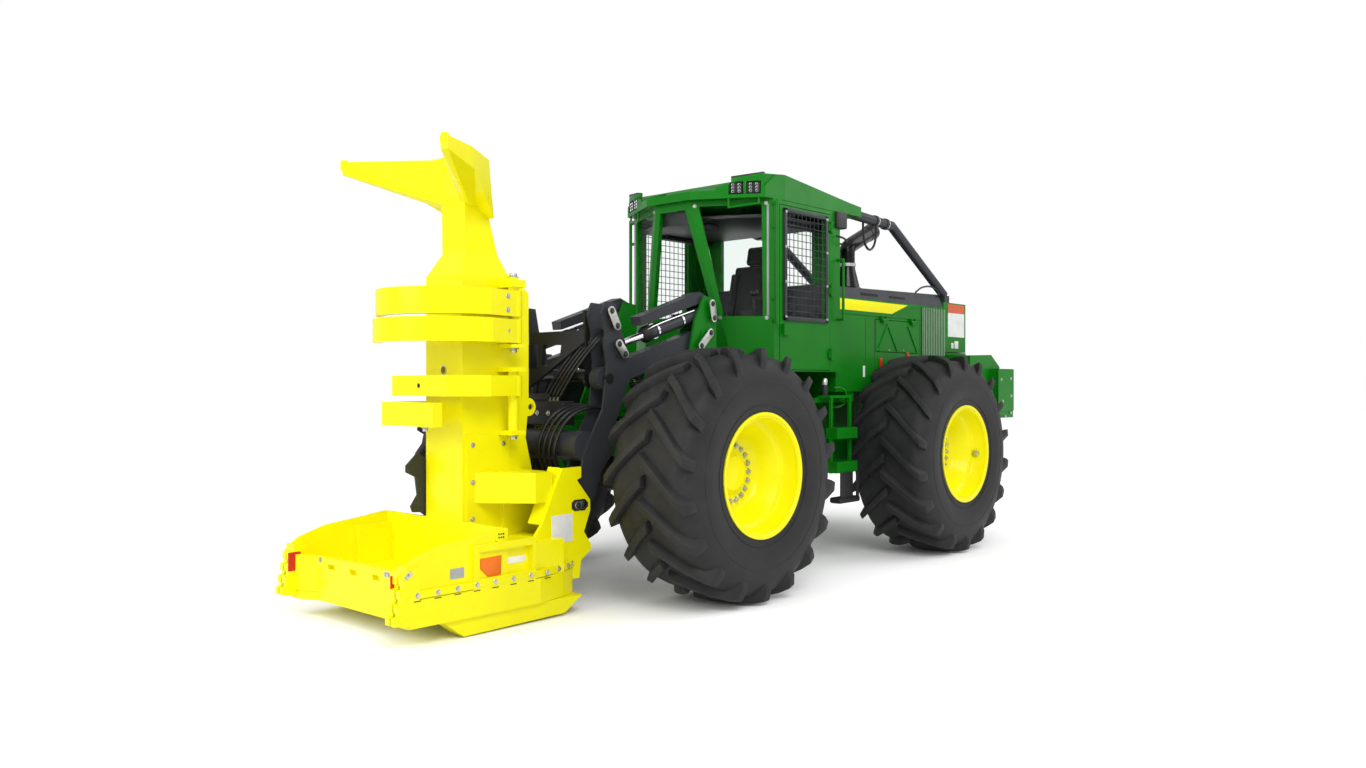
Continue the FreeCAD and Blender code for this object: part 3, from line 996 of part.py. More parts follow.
recess_block = recess_block.cut(box(2860, 3270, TRAY_HALF - 68, TRAY_HALF + 5, 340, 500))
brace_plan = [(MAST_FRONT - 90, MAST_HALF + 12 + SEAT_GAP), (2700, LUG_OUT_Y), (2560, LUG_OUT_Y),
              (2560, MAST_HALF + SEAT_GAP), (MAST_REAR, MAST_HALF + SEAT_GAP),
              (MAST_REAR, MAST_HALF + 12 + SEAT_GAP)]
brace = plate_xy(brace_plan, *BRACE_Z)
brace_room = plate_xy([(2820, MAST_HALF + 40), (2680, LUG_OUT_Y - 75), (2590, LUG_OUT_Y - 75),
                       (2590, MAST_HALF + 40)], BRACE_Z[0] + 20, BRACE_Z[1] - 20)
brace = brace.cut(brace_room)
tooth = 300 / HORN_TEETH
horn_front = []
for k in range(HORN_TEETH):
    z = 150 + k * tooth
    x = HORN_TIP_X - k * 16
    horn_front += [(x, z), (x, z + 0.6 * tooth), (x - 26, z + 0.68 * tooth), (x - 26, z + 0.95 * tooth)]
horn_outline = [(TRAY_FRONT - 60, 130)] + horn_front + [(TRAY_FRONT + 27, 467), (TRAY_FRONT - 60, 467)]
horn_block = plate_xz(horn_outline, 600, TRAY_HALF)
horn_block = horn_block.cut(box(TRAY_FRONT + 20, HORN_TIP_X + 20, 640, 662, 100, 425))
front_wall_plate = box(TRAY_FRONT - 90, TRAY_FRONT - 50, -440, 440, TRAY_BOTTOM + 65, 405)
for y in (-260, 0, 260):
    front_wall_plate = front_wall_plate.cut(box(TRAY_FRONT - 100, TRAY_FRONT, y - 45, y + 45, 335, 368))
wall_end = plate_xy([(TRAY_FRONT - 90, 435), (TRAY_FRONT - 50, 435), (TRAY_FRONT + 20, 605),
                     (TRAY_FRONT - 25, 605)], TRAY_BOTTOM + 65, 405)
skid = plate_xz([(3515, TRAY_BOTTOM + 3), (3367, 8), (2573, 20), (2420, TRAY_BOTTOM + 3)], 560, wall_y)
LUG_FRONT_LOW, LUG_FRONT_TOP = (2666, 587), (2488, 947)
LUG_OUTLINE = [LUG_FRONT_TOP, (2322, 949), (2322, 877), (2362, 861), (2240, 720), (2240, 646),
               (2297, 507), (2232, 415), (2232, 379), (2322, 317), (2340, 200), (2700, 200),
               (2900, 300), LUG_FRONT_LOW]
lug_plate = plate_xz(LUG_OUTLINE, LUG_OUT_Y, LUG_OUT_Y + 25)
lug_plate = lug_plate.cut(pin_y(HEAD_PIN[0], HEAD_PIN[1], 0, 900, 40 + SEAT_GAP))
cheek = box(2400, 2570, MAST_HALF + SEAT_GAP, LUG_OUT_Y + 5, TRAY_FLOOR - 5, 420)
lug_flange = strap(LUG_FRONT_LOW, LUG_FRONT_TOP, 11, LUG_OUT_Y - 110, LUG_OUT_Y + 5)
tray_sides = [side_wall, skirt, horn_block, wall_end, skid, lug_plate, lug_flange, cheek, housing,
              recess_block, brace]
tray_all = fuse([tray, front_wall_plate, bulkhead] + [half for side in tray_sides for half in both(side)])
tray_all = tray_all.cut(box(MAST_REAR - SEAT_GAP, MAST_FRONT + SEAT_GAP, -MAST_HALF - SEAT_GAP,
                            MAST_HALF + SEAT_GAP, MAST_FOOT_Z - SEAT_GAP, 1200))
export("head_tray", [tray_all])
saw = pin_z(SAW_X, 0, SAW_Z - 10, SAW_Z + 10, SAW_R)
export("saw_disc", [saw.cut(pin_z(SAW_X, 0, SAW_Z - 50, SAW_Z + 50, SAW_BOSS_R + SEAT_GAP))])


def arm_on_pin(shape, z0, z1):
    """Give an arm its round knuckle and the hole for the left pin."""
    knuckle = pin_z(ARM_PIN_X, ARM_PIN_Y, z0, z1, 58)
    return fuse([shape, knuckle]).cut(pin_z(ARM_PIN_X, ARM_PIN_Y, z0 - 5, z1 + 5, 34 + SEAT_GAP))


def crescent(z0, z1, radius):
    """Curved arm that closes across the front of the mast."""
    cx, cy = ARM_PIN_X + 260, -60

    def at(r, degrees, dx=0):
        return V(cx + dx + r * math.cos(math.radians(degrees)),
                 cy + r * math.sin(math.radians(degrees)), z0)
    outer = Part.Arc(at(radius, 90), at(radius, 22), at(radius, -46)).toShape()
    inner = Part.Arc(at(radius - 45, -46), at(radius - 100, 22), at(radius - 105, 90)).toShape()
    wire = Part.Wire([outer, Part.makeLine(at(radius, -46), at(radius - 45, -46)), inner,
                      Part.makeLine(at(radius - 105, 90), at(radius, 90))])
    band = Part.Face(wire).extrude(V(0, 0, z1 - z0))
    root = plate_xy([(ARM_PIN_X - 30, ARM_PIN_Y + 45), (cx + 5, cy + radius), (cx + 5, cy + radius - 105),
                     (ARM_PIN_X + 30, ARM_PIN_Y - 48)], z0, z1)
    return arm_on_pin(fuse([band, root]), z0, z1)


def hooked(z0, z1, face_x, corner_y, end_y):
    """Angular arm with a flat face across the front of the mast."""
    px, py = ARM_PIN_X, ARM_PIN_Y
    plan = [(px - 30, py + 48), (px + 266, py + 110), (face_x, corner_y), (face_x, end_y),
            (face_x - 70, end_y), (face_x - 70, corner_y - 50), (px + 250, py + 20), (px + 30, py - 45)]
    return arm_on_pin(plate_xy(plan, z0, z1), z0, z1)


export("gather_arm", [crescent(1955, 2125, 470)])
export("grab_arm_upper", [crescent(1780, 1935, 488)])
export("grab_arm_left", [hooked(1430, 1565, MAST_FRONT + 160, 260, -365)])
export("grab_arm_right", [mirrored(hooked(1235, 1390, MAST_FRONT + 250, 345, -240))])
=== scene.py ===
import json
import math

import bpy
from mathutils import Matrix, Vector


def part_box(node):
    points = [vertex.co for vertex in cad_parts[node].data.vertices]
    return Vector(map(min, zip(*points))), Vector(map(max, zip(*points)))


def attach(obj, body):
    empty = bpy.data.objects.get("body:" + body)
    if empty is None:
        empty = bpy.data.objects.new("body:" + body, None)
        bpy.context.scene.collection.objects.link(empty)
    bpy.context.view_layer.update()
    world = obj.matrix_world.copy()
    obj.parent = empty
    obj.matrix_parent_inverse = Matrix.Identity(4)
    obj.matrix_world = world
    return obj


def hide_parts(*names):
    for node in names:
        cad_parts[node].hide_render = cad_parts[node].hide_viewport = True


bl_info = {
    "name": "Wheeled feller buncher",
    "version": (1, 0, 0),
    "blender": (4, 5, 0),
    "location": "3D View > Sidebar > Feller",
    "description": "Dresses the packed feller buncher with its finishes and small parts",
    "category": "Object",
}

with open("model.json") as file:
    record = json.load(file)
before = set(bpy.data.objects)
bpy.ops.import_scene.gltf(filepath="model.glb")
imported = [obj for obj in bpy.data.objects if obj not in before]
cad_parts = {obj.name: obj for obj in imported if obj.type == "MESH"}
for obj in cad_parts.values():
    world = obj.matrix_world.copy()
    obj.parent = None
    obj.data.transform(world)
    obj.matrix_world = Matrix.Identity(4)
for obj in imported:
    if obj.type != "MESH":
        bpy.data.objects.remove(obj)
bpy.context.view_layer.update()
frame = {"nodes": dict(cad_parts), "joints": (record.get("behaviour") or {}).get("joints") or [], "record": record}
JOINTS = {joint["name"]: joint for joint in frame["joints"]}
SLOTS = {part["material_slot"] for part in frame["record"]["subparts"]}


def joint_point(name):
    """A point on a joint's axis, from the frame."""
    return Vector(JOINTS[name]["pos_m"])


PIVOT_X = joint_point("articulation").x
WHEELS = {
    "front_left": 1,
    "front_right": -1,
    "rear_left": 1,
    "rear_right": -1,
}


def at(x, y, z):
    """Place in the frame of a point measured forward from the articulation."""
    return Vector((PIVOT_X + x, y, z))


# ------------------------------------------------------------------ settings
class PaintSettings(bpy.types.PropertyGroup):
    green: bpy.props.FloatVectorProperty(
        name="Machine green", description="Body paint", subtype="COLOR", size=3,
        default=(0.003, 0.200, 0.005))
    yellow: bpy.props.FloatVectorProperty(
        name="Head yellow", description="Paint of the head and the rims", subtype="COLOR", size=3,
        default=(1.0, 0.93, 0.0025))
    graphite: bpy.props.FloatVectorProperty(
        name="Graphite", description="Dark paint of hood, boom and guards", subtype="COLOR", size=3,
        default=(0.040, 0.043, 0.050))
    rubber: bpy.props.FloatVectorProperty(
        name="Tyre rubber", description="Colour of clean rubber", subtype="COLOR", size=3,
        default=(0.019, 0.019, 0.020))


class TyreSettings(bpy.types.PropertyGroup):
    bars: bpy.props.IntProperty(
        name="Bars per side", description="Tread bars in each row", default=18, min=8, max=40)
    sweep: bpy.props.FloatProperty(
        name="Bar sweep", description="Turn from the crown end of a bar to its shoulder end",
        default=math.radians(22), subtype="ANGLE")
    bar_width: bpy.props.FloatProperty(
        name="Bar width", description="Width of a bar's top", default=0.066, unit="LENGTH")
    nuts: bpy.props.IntProperty(
        name="Wheel nuts", description="Nuts in each wheel's ring", default=20, min=6, max=30)
    nut_ring: bpy.props.FloatProperty(
        name="Nut ring", description="Radius of the ring of nuts", default=0.200, unit="LENGTH")


# ------------------------------------------------------------ modelling tools
def clear_selection():
    if bpy.context.object and bpy.context.object.mode != "OBJECT":
        bpy.ops.object.mode_set(mode="OBJECT")
    bpy.ops.object.select_all(action="DESELECT")


def pick(piece):
    clear_selection()
    piece.select_set(True)
    bpy.context.view_layer.objects.active = piece


def soften(piece, width, segments=2, angle=35):
    """Bevel the sharp edges and shade what is left smooth."""
    pick(piece)
    bevel = piece.modifiers.new("edges", "BEVEL")
    bevel.width = width
    bevel.segments = segments
    bevel.limit_method = "ANGLE"
    bevel.angle_limit = math.radians(angle)
    bpy.ops.object.modifier_apply(modifier="edges")
    bpy.ops.object.shade_smooth_by_angle(angle=math.radians(angle))
    return piece


def outward(piece, merge=1e-5):
    pick(piece)
    bpy.ops.object.mode_set(mode="EDIT")
    bpy.ops.mesh.select_all(action="SELECT")
    bpy.ops.mesh.remove_doubles(threshold=merge)
    bpy.ops.mesh.normals_make_consistent(inside=False)
    bpy.ops.object.mode_set(mode="OBJECT")
    return piece


def block(low, high, bevel=0.003, segments=2):
    """Box between two corners, its edges rounded."""
    clear_selection()
    low, high = Vector(low), Vector(high)
    bpy.ops.mesh.primitive_cube_add(size=1, location=(low + high) / 2, scale=high - low)
    piece = bpy.context.object
    bpy.ops.object.transform_apply(location=True, rotation=True, scale=True)
    return soften(piece, bevel, segments)


def along_axis(axis, u, v, depth):
    """Point with its depth along an axis; u and v fill the other two in order."""
    point = {"x": (depth, u, v), "y": (u, depth, v), "z": (u, v, depth)}
    return Vector(point[axis])


def plate(outline, axis, low, high, bevel=0.002, segments=2):
    """Plate of any outline between two depths along an axis, in pivot measure."""
    clear_selection()
    bpy.ops.mesh.primitive_circle_add(vertices=len(outline), fill_type="NGON")
    piece = bpy.context.object
    for vertex, (u, v) in zip(piece.data.vertices, outline):
        vertex.co = along_axis(axis, u, v, low) + Vector((PIVOT_X, 0, 0))
    bpy.ops.object.mode_set(mode="EDIT")
    bpy.ops.mesh.select_all(action="SELECT")
    bpy.ops.mesh.extrude_region_move(
        TRANSFORM_OT_translate={"value": along_axis(axis, 0, 0, high - low)})
    bpy.ops.object.mode_set(mode="OBJECT")
    outward(piece)
    if bevel:
        soften(piece, bevel, segments)
    return piece


def lathe(profile, centre, axis=(0, 1, 0), steps=64):
    """Body of revolution; profile points are (along the axis, radius)."""
    clear_selection()
    bpy.ops.mesh.primitive_circle_add(vertices=len(profile), fill_type="NOTHING")
    piece = bpy.context.object
    axis, centre = Vector(axis).normalized(), Vector(centre)
    side = Vector((1, 0, 0)) if abs(axis.x) < 0.9 else Vector((0, 0, 1))
    side = (side - axis * side.dot(axis)).normalized()
    for vertex, (depth, radius) in zip(piece.data.vertices, profile):
        vertex.co = centre + axis * depth + side * radius
    bpy.ops.object.mode_set(mode="EDIT")
    bpy.ops.mesh.select_all(action="SELECT")
    bpy.ops.mesh.spin(steps=steps, angle=2 * math.pi, center=centre, axis=axis)
    bpy.ops.object.mode_set(mode="OBJECT")
    outward(piece)
    pick(piece)
    bpy.ops.object.shade_smooth_by_angle(angle=math.radians(38))
    return piece


def tube(points, radius, sides=12):
    """Round tube that bends softly along its points."""
    curve = bpy.data.curves.new("tube", "CURVE")
    curve.dimensions = "3D"
    spline = curve.splines.new("NURBS")
    spline.points.add(len(points) - 1)
    for knot, point in zip(spline.points, points):
        knot.co = (*point, 1)
    spline.order_u = 3
    spline.use_endpoint_u = True
    curve.bevel_depth = radius
    curve.bevel_resolution = max(1, sides // 4 - 1)
    curve.resolution_u = 6
    curve.use_fill_caps = True
    piece = bpy.data.objects.new("tube", curve)
    bpy.context.scene.collection.objects.link(piece)
    pick(piece)
    bpy.ops.object.convert(target="MESH")
    piece = bpy.context.object
    bpy.ops.object.shade_smooth_by_angle(angle=math.radians(40))
    return piece


def copied(piece, shift=(0, 0, 0), turn=None):
    """Copy with its own mesh, turned and then moved."""
    twin = piece.copy()
    twin.data = piece.data.copy()
    if turn:
        twin.data.transform(turn)
    twin.data.transform(Matrix.Translation(shift))
    bpy.context.scene.collection.objects.link(twin)
    return twin


def mirrored(piece):
    """Copy on the machine's other side."""
    twin = copied(piece)
    twin.data.transform(Matrix.Diagonal((1, -1, 1, 1)))
    twin.data.flip_normals()
    return twin


def joined(pieces):
    clear_selection()
    for piece in pieces:
        piece.select_set(True)
    bpy.context.view_layer.objects.active = pieces[0]
    if len(pieces) > 1:
        bpy.ops.object.join()
    return bpy.context.view_layer.objects.active


def settle(piece, name, finish, body, slot=None):
    """Name a finished piece or a list of them, paint it and let it ride on its body."""
    if isinstance(piece, list):
        piece = joined(piece)
    piece.name = name
    piece.data.name = name
    piece.data.materials.clear()
    piece.data.materials.append(FINISHES[finish])
    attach(piece, body)
    if finish in SLOTS:
        slot = slot or finish
    return piece


def both_sides(piece, stem, finish, body, slot=None):
    """Settle the mirror image and the left piece; {} in a name stands for the side."""
    if isinstance(piece, list):
        piece = joined(piece)
    for side, half in (("right", mirrored(piece)), ("left", piece)):
        settle(half, stem.format(side), finish, body.format(side), slot)


def paired(piece):
    """One piece made of a left piece, or a list of them, and its mirror image."""
    if isinstance(piece, list):
        piece = joined(piece)
    return joined([mirrored(piece), piece])


def bolt_head(centre, direction, radius=0.012, height=0.010):
    """Hexagon head on a washer, standing on a surface."""
    direction = Vector(direction).normalized()
    turn = direction.to_track_quat("Z", "Y").to_matrix().to_4x4()
    parts = []
    for sides, r, low, high in ((24, radius * 1.45, 0, height * 0.25), (6, radius, height * 0.2, height)):
        clear_selection()
        bpy.ops.mesh.primitive_cylinder_add(vertices=sides, radius=r, depth=high - low,
                                            location=(0, 0, (low + high) / 2))
        part = bpy.context.object
        bpy.ops.object.transform_apply(location=True)
        parts.append(part)
    head = soften(joined(parts), radius * 0.12, 1)
    head.data.transform(Matrix.Translation(centre) @ turn)
    return head


# -------------------------------------------------------------------- finishes
def new_finish(name):
    finish = bpy.data.materials.new(name)
    finish.use_nodes = True
    nodes = finish.node_tree.nodes
    nodes.clear()
    shader = nodes.new("ShaderNodeBsdfPrincipled")
    output = nodes.new("ShaderNodeOutputMaterial")
    place = nodes.new("ShaderNodeTexCoord")
    finish.node_tree.links.new(shader.outputs["BSDF"], output.inputs["Surface"])
    return finish, nodes, finish.node_tree.links, shader, place


def mottled(nodes, links, place, scale, detail=4, roughness=0.55):
    noise = nodes.new("ShaderNodeTexNoise")
    noise.inputs["Scale"].default_value = scale
    noise.inputs["Detail"].default_value = detail
    noise.inputs["Roughness"].default_value = roughness
    links.new(place.outputs["Object"], noise.inputs["Vector"])
    return noise


def spread_value(nodes, links, source, low, high, start=0.3, end=0.7):
    """Map a texture's value onto a range."""
    spread = nodes.new("ShaderNodeMapRange")
    spread.inputs["From Min"].default_value = start
    spread.inputs["From Max"].default_value = end
    spread.inputs["To Min"].default_value = low
    spread.inputs["To Max"].default_value = high
    links.new(source, spread.inputs["Value"])
    return spread.outputs["Result"]


def blended(nodes, links, factor, first, second):
    mix = nodes.new("ShaderNodeMix")
    mix.data_type = "RGBA"
    mix.inputs["A"].default_value = (*first, 1)
    mix.inputs["B"].default_value = (*second, 1)
    links.new(factor, mix.inputs["Factor"])
    return mix.outputs["Result"]


def bumped(nodes, links, height, strength, distance):
    bump = nodes.new("ShaderNodeBump")
    bump.inputs["Strength"].default_value = strength
    bump.inputs["Distance"].default_value = distance
    links.new(height, bump.inputs["Height"])
    return bump.outputs["Normal"]


def paint(name, colour, roughness=0.32, coat=0.08, worn=0.82, sheen=0.18):
    """Sprayed enamel: faint mottling, uneven gloss and orange peel."""
    finish, nodes, links, shader, place = new_finish(name)
    drift = mottled(nodes, links, place, 2.3, 5)
    shade = tuple(c * worn for c in colour)
    links.new(blended(nodes, links, spread_value(nodes, links, drift.outputs["Fac"], 0, 1), colour, shade),
              shader.inputs["Base Color"])
    gloss = mottled(nodes, links, place, 9, 6)
    links.new(spread_value(nodes, links, gloss.outputs["Fac"], roughness * 0.8, roughness * 1.35),
              shader.inputs["Roughness"])
    peel = mottled(nodes, links, place, 260, 2)
    links.new(bumped(nodes, links, peel.outputs["Fac"], 0.12, 0.0006), shader.inputs["Normal"])
    shader.inputs["Specular IOR Level"].default_value = sheen
    shader.inputs["Coat Weight"].default_value = coat
    shader.inputs["Coat Roughness"].default_value = 0.08
    return finish


def rubber(name, colour):
    """Moulded rubber with a fine grain and a little grey bloom."""
    finish, nodes, links, shader, place = new_finish(name)
    bloom = mottled(nodes, links, place, 6, 6)
    grey = tuple(c * 1.5 + 0.004 for c in colour)
    links.new(blended(nodes, links, spread_value(nodes, links, bloom.outputs["Fac"], 0, 1, 0.42, 0.75),
                      colour, grey), shader.inputs["Base Color"])
    grain = mottled(nodes, links, place, 180, 3)
    links.new(spread_value(nodes, links, bloom.outputs["Fac"], 0.48, 0.66), shader.inputs["Roughness"])
    shader.inputs["Specular IOR Level"].default_value = 0.25
    links.new(bumped(nodes, links, grain.outputs["Fac"], 0.25, 0.0012), shader.inputs["Normal"])
    return finish


def metal(name, colour, roughness, brushed=0.0):
    """Bare metal with fine wear in its gloss."""
    finish, nodes, links, shader, place = new_finish(name)
    shader.inputs["Metallic"].default_value = 1.0
    drift = mottled(nodes, links, place, 14, 5)
    links.new(blended(nodes, links, spread_value(nodes, links, drift.outputs["Fac"], 0, 1),
                      colour, tuple(c * 0.8 for c in colour)), shader.inputs["Base Color"])
    links.new(spread_value(nodes, links, drift.outputs["Fac"], roughness * 0.75, roughness * 1.4),
              shader.inputs["Roughness"])
    grain = mottled(nodes, links, place, 420, 2)
    links.new(bumped(nodes, links, grain.outputs["Fac"], 0.05 + brushed, 0.0005), shader.inputs["Normal"])
    return finish


def plastic(name, colour, roughness=0.5, grain_scale=300):
    """Grained moulded plastic."""
    finish, nodes, links, shader, place = new_finish(name)
    drift = mottled(nodes, links, place, 5, 4)
    links.new(blended(nodes, links, spread_value(nodes, links, drift.outputs["Fac"], 0, 1),
                      colour, tuple(c * 0.75 for c in colour)), shader.inputs["Base Color"])
    grain = mottled(nodes, links, place, grain_scale, 2)
    links.new(spread_value(nodes, links, grain.outputs["Fac"], roughness * 0.9, roughness * 1.15),
              shader.inputs["Roughness"])
    links.new(bumped(nodes, links, grain.outputs["Fac"], 0.2, 0.0007), shader.inputs["Normal"])
    return finish


def clear_glass(name, tint):
    """Flat window glass with faint dust."""
    finish, nodes, links, shader, place = new_finish(name)
    shader.inputs["Base Color"].default_value = (*tint, 1)
    shader.inputs["Transmission Weight"].default_value = 1.0
    shader.inputs["IOR"].default_value = 1.03
    shader.inputs["Specular IOR Level"].default_value = 0.6
    dust = mottled(nodes, links, place, 3, 5)
    links.new(spread_value(nodes, links, dust.outputs["Fac"], 0.0, 0.04), shader.inputs["Roughness"])
    return finish


def woven(name, colour):
    """Seat cloth: a fine two-way weave."""
    finish, nodes, links, shader, place = new_finish(name)
    threads = nodes.new("ShaderNodeTexWave")
    threads.inputs["Scale"].default_value = 160
    threads.inputs["Distortion"].default_value = 1.5
    links.new(place.outputs["Object"], threads.inputs["Vector"])
    links.new(blended(nodes, links, threads.outputs["Fac"], colour, tuple(c * 1.8 for c in colour)),
              shader.inputs["Base Color"])
    links.new(bumped(nodes, links, threads.outputs["Fac"], 0.35, 0.001), shader.inputs["Normal"])
    shader.inputs["Roughness"].default_value = 0.85
    shader.inputs["Sheen Weight"].default_value = 0.25
    return finish


FINISHES = {}


def make_finishes(colours):
    green, yellow, graphite = tuple(colours.green), tuple(colours.yellow), tuple(colours.graphite)
    FINISHES.update({
        "green_paint": paint("green_enamel", green, 0.34),
        "yellow_paint": paint("yellow_enamel", yellow, 0.30, worn=0.93),
        "dark_paint": paint("graphite_enamel", graphite, 0.42, coat=0.15),
        "pipe_black": paint("pipe_black", (0.004, 0.004, 0.005), 0.22, coat=0.12, sheen=0.25),
        "chrome_rod": metal("chrome", (0.82, 0.83, 0.85), 0.10),
        "saw_steel": metal("ground_steel", (0.45, 0.45, 0.46), 0.34, 0.1),
        "zinc": metal("zinc_plate", (0.62, 0.62, 0.60), 0.36),
        "dark_steel": metal("oiled_steel", (0.10, 0.10, 0.10), 0.45),
        "cast_axle": paint("axle_black", (0.018, 0.018, 0.019), 0.5, coat=0.05),
        "tyre": rubber("tyre_rubber", tuple(colours.rubber)),
        "window_glass": clear_glass("window_glass", (0.93, 0.97, 0.95)),
        "lamp_lens": metal("lamp_reflector", (0.80, 0.82, 0.84), 0.18),
        "seat_fabric": woven("seat_cloth", (0.016, 0.016, 0.018)),
        "cab_plastic": plastic("cab_plastic", (0.022, 0.022, 0.024)),
        "soft_black": plastic("black_rubber", (0.012, 0.012, 0.013), 0.6),
        "slat_paint": paint("slat_enamel", (0.30, 0.42, 0.29), 0.4),
        "stripe": paint("stripe_yellow", yellow, 0.3, worn=0.96),
        "label_white": plastic("blank_label", (0.97, 0.97, 0.96), 0.4, 60),
        "warning_orange": plastic("orange_band", (0.72, 0.12, 0.035), 0.4, 60),
        "hose": plastic("hose_rubber", (0.010, 0.010, 0.011), 0.35, 500),
        "label_grey": plastic("blank_plate", (0.42, 0.43, 0.44), 0.35, 60),
        "reflector_red": plastic("red_reflector", (0.72, 0.01, 0.008), 0.25, 500),
        "reflector_orange": plastic("orange_reflector", (1.0, 0.20, 0.0), 0.45, 500),
    })


class FELLER_OT_paint_frame(bpy.types.Operator):
    """Give every fixed part the finish of its slot"""
    bl_idname = "feller.paint_frame"
    bl_label = "Paint the frame"

    def execute(self, context):
        make_finishes(context.scene.feller_paint)
        own_finish = {"elbow_frame": "hose"}
        for part in frame["record"]["subparts"]:
            node = frame["nodes"][part["node"]]
            finish = FINISHES[own_finish.get(part["node"], part["material_slot"])]
            node.data.materials.clear()
            node.data.materials.append(finish)
        return {"FINISHED"}


# ----------------------------------------------------------------------- tyres
def casing(centre, radius, width):
    """Rounded tyre casing, hollow."""
    half = width / 2
    crown = radius - 0.053
    outer = [(0.334, 0.397), (0.336, 0.432), (0.343, 0.47), (0.356, 0.53), (half - 0.001, 0.58),
             (half, 0.62), (half - 0.004, 0.68), (half - 0.016, 0.735), (half - 0.038, 0.78),
             (half - 0.068, 0.815), (0.24, crown - 0.004), (0.12, crown)]
    inner = [(-0.1, crown - 0.042), (-0.25, crown - 0.048), (-0.29, 0.72), (-0.30, 0.62), (-0.30, 0.5),
             (-0.30, 0.399)]
    profile = [(o, r) for o, r in outer] + [(0, crown + 0.001)] + [(-o, r) for o, r in reversed(outer)]
    profile += [(o, r) for o, r in reversed(inner)] + [(-o, r) for o, r in inner]
    return lathe(profile, centre, steps=88)


BAR_STATIONS = (
    # across, share of the sweep, drop of the top, drop of the root, root across
    (-0.018, 0.00, 0.000, 0.075, -0.018),
    (0.100, 0.27, 0.002, 0.078, 0.100),
    (0.200, 0.54, 0.006, 0.085, 0.200),
    (0.290, 0.79, 0.013, 0.110, 0.285),
    (0.346, 0.95, 0.028, 0.165, 0.330),
    (0.361, 1.00, 0.105, 0.215, 0.338),
)


def tread_bar(settings, radius, side):
    """One straight bar: flat top, sloped flanks and a face cut down the shoulder."""
    clear_selection()
    bpy.ops.mesh.primitive_grid_add(x_subdivisions=len(BAR_STATIONS) - 1, y_subdivisions=1, size=1)
    piece = bpy.context.object
    spots = {}
    for vertex in piece.data.vertices:
        station = round((vertex.co.x + 0.5) * (len(BAR_STATIONS) - 1))
        spots[vertex.index] = (station, 1 if vertex.co.y > 0 else -1)
    count = len(spots)
    places = [vertex.co.copy() for vertex in piece.data.vertices]
    bpy.ops.object.mode_set(mode="EDIT")
    bpy.ops.mesh.select_all(action="SELECT")
    bpy.ops.mesh.extrude_region_move(TRANSFORM_OT_translate={"value": (0, 0, 0)})
    bpy.ops.object.mode_set(mode="OBJECT")
    for vertex in piece.data.vertices:
        twin = min(range(count), key=lambda k: (places[k] - vertex.co).length)
        station, flank = spots[twin]
        across, share, top_drop, root_drop, root_across = BAR_STATIONS[station]
        at_root = vertex.index >= count
        r = radius - (root_drop if at_root else top_drop)
        half_width = settings.bar_width / 2 + (0.026 if at_root else 0)
        angle = -settings.sweep * share + flank * half_width / radius
        vertex.co = Vector((r * math.cos(angle), side * (root_across if at_root else across),
                            r * math.sin(angle)))
    outward(piece)
    soften(piece, 0.007, 2, 30)
    return piece


def whole_tyre(settings):
    """Tyre about the origin: casing, bars and sidewall ribs."""
    low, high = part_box("tyre_front_left")
    radius = (high[2] - low[2]) / 2
    width = high[1] - low[1]
    parts = [casing((0, 0, 0), radius, width)]
    pitch = 2 * math.pi / settings.bars
    for row in (1, -1):
        bar = tread_bar(settings, radius, row)
        for k in range(settings.bars):
            angle = -math.pi / 2 + (k + (0 if row == 1 else 0.5)) * pitch
            parts.append(copied(bar, turn=Matrix.Rotation(-angle, 4, "Y")))
        bpy.data.objects.remove(bar)
    for offset, r in ((0.3625, 0.640), (0.347, 0.482)):
        for row in (1, -1):
            clear_selection()
            bpy.ops.mesh.primitive_torus_add(major_radius=r, minor_radius=0.0035, major_segments=88,
                                             minor_segments=8, rotation=(math.pi / 2, 0, 0),
                                             location=(0, row * offset, 0))
            bpy.ops.object.transform_apply(location=True, rotation=True)
            parts.append(bpy.context.object)
    return joined(parts)


class FELLER_OT_tyres(bpy.types.Operator):
    """Four forestry tyres with slanting bars"""
    bl_idname = "feller.tyres"
    bl_label = "Tyres"

    def execute(self, context):
        plain = whole_tyre(context.scene.feller_tyre)
        for label in WHEELS:
            node = "tyre_" + label
            low, high = (Vector(corner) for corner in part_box(node))
            tyre = copied(plain, (low + high) / 2)
            settle(tyre, "dressed_" + node, "tyre", "wheel_" + label)
            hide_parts(node)
        bpy.data.objects.remove(plain)
        return {"FINISHED"}


# ----------------------------------------------------------------------- wheels
def rim_dish(side):
    """Rim about the origin: lip, stepped well, cone, disc and hub."""
    face = [(0.345, 0.432), (0.345, 0.412), (0.337, 0.402), (0.312, 0.394), (0.226, 0.386),
            (0.212, 0.376), (0.206, 0.352), (0.188, 0.336), (0.082, 0.294), (0.050, 0.276),
            (0.036, 0.256), (0.034, 0.150), (0.040, 0.138), (0.058, 0.130), (0.074, 0.118),
            (0.080, 0.094), (0.080, 0.001)]
    back = [(0.054, 0.001), (0.010, 0.150), (0.010, 0.262), (0.024, 0.290), (0.070, 0.312),
            (0.150, 0.344), (0.160, 0.381), (-0.345, 0.381), (-0.345, 0.432), (-0.335, 0.432),
            (-0.335, 0.3945), (0.335, 0.3945), (0.335, 0.432)]
    profile = [(side * depth, radius) for depth, radius in face + back]
    return lathe(profile, (0, 0, 0), steps=96)


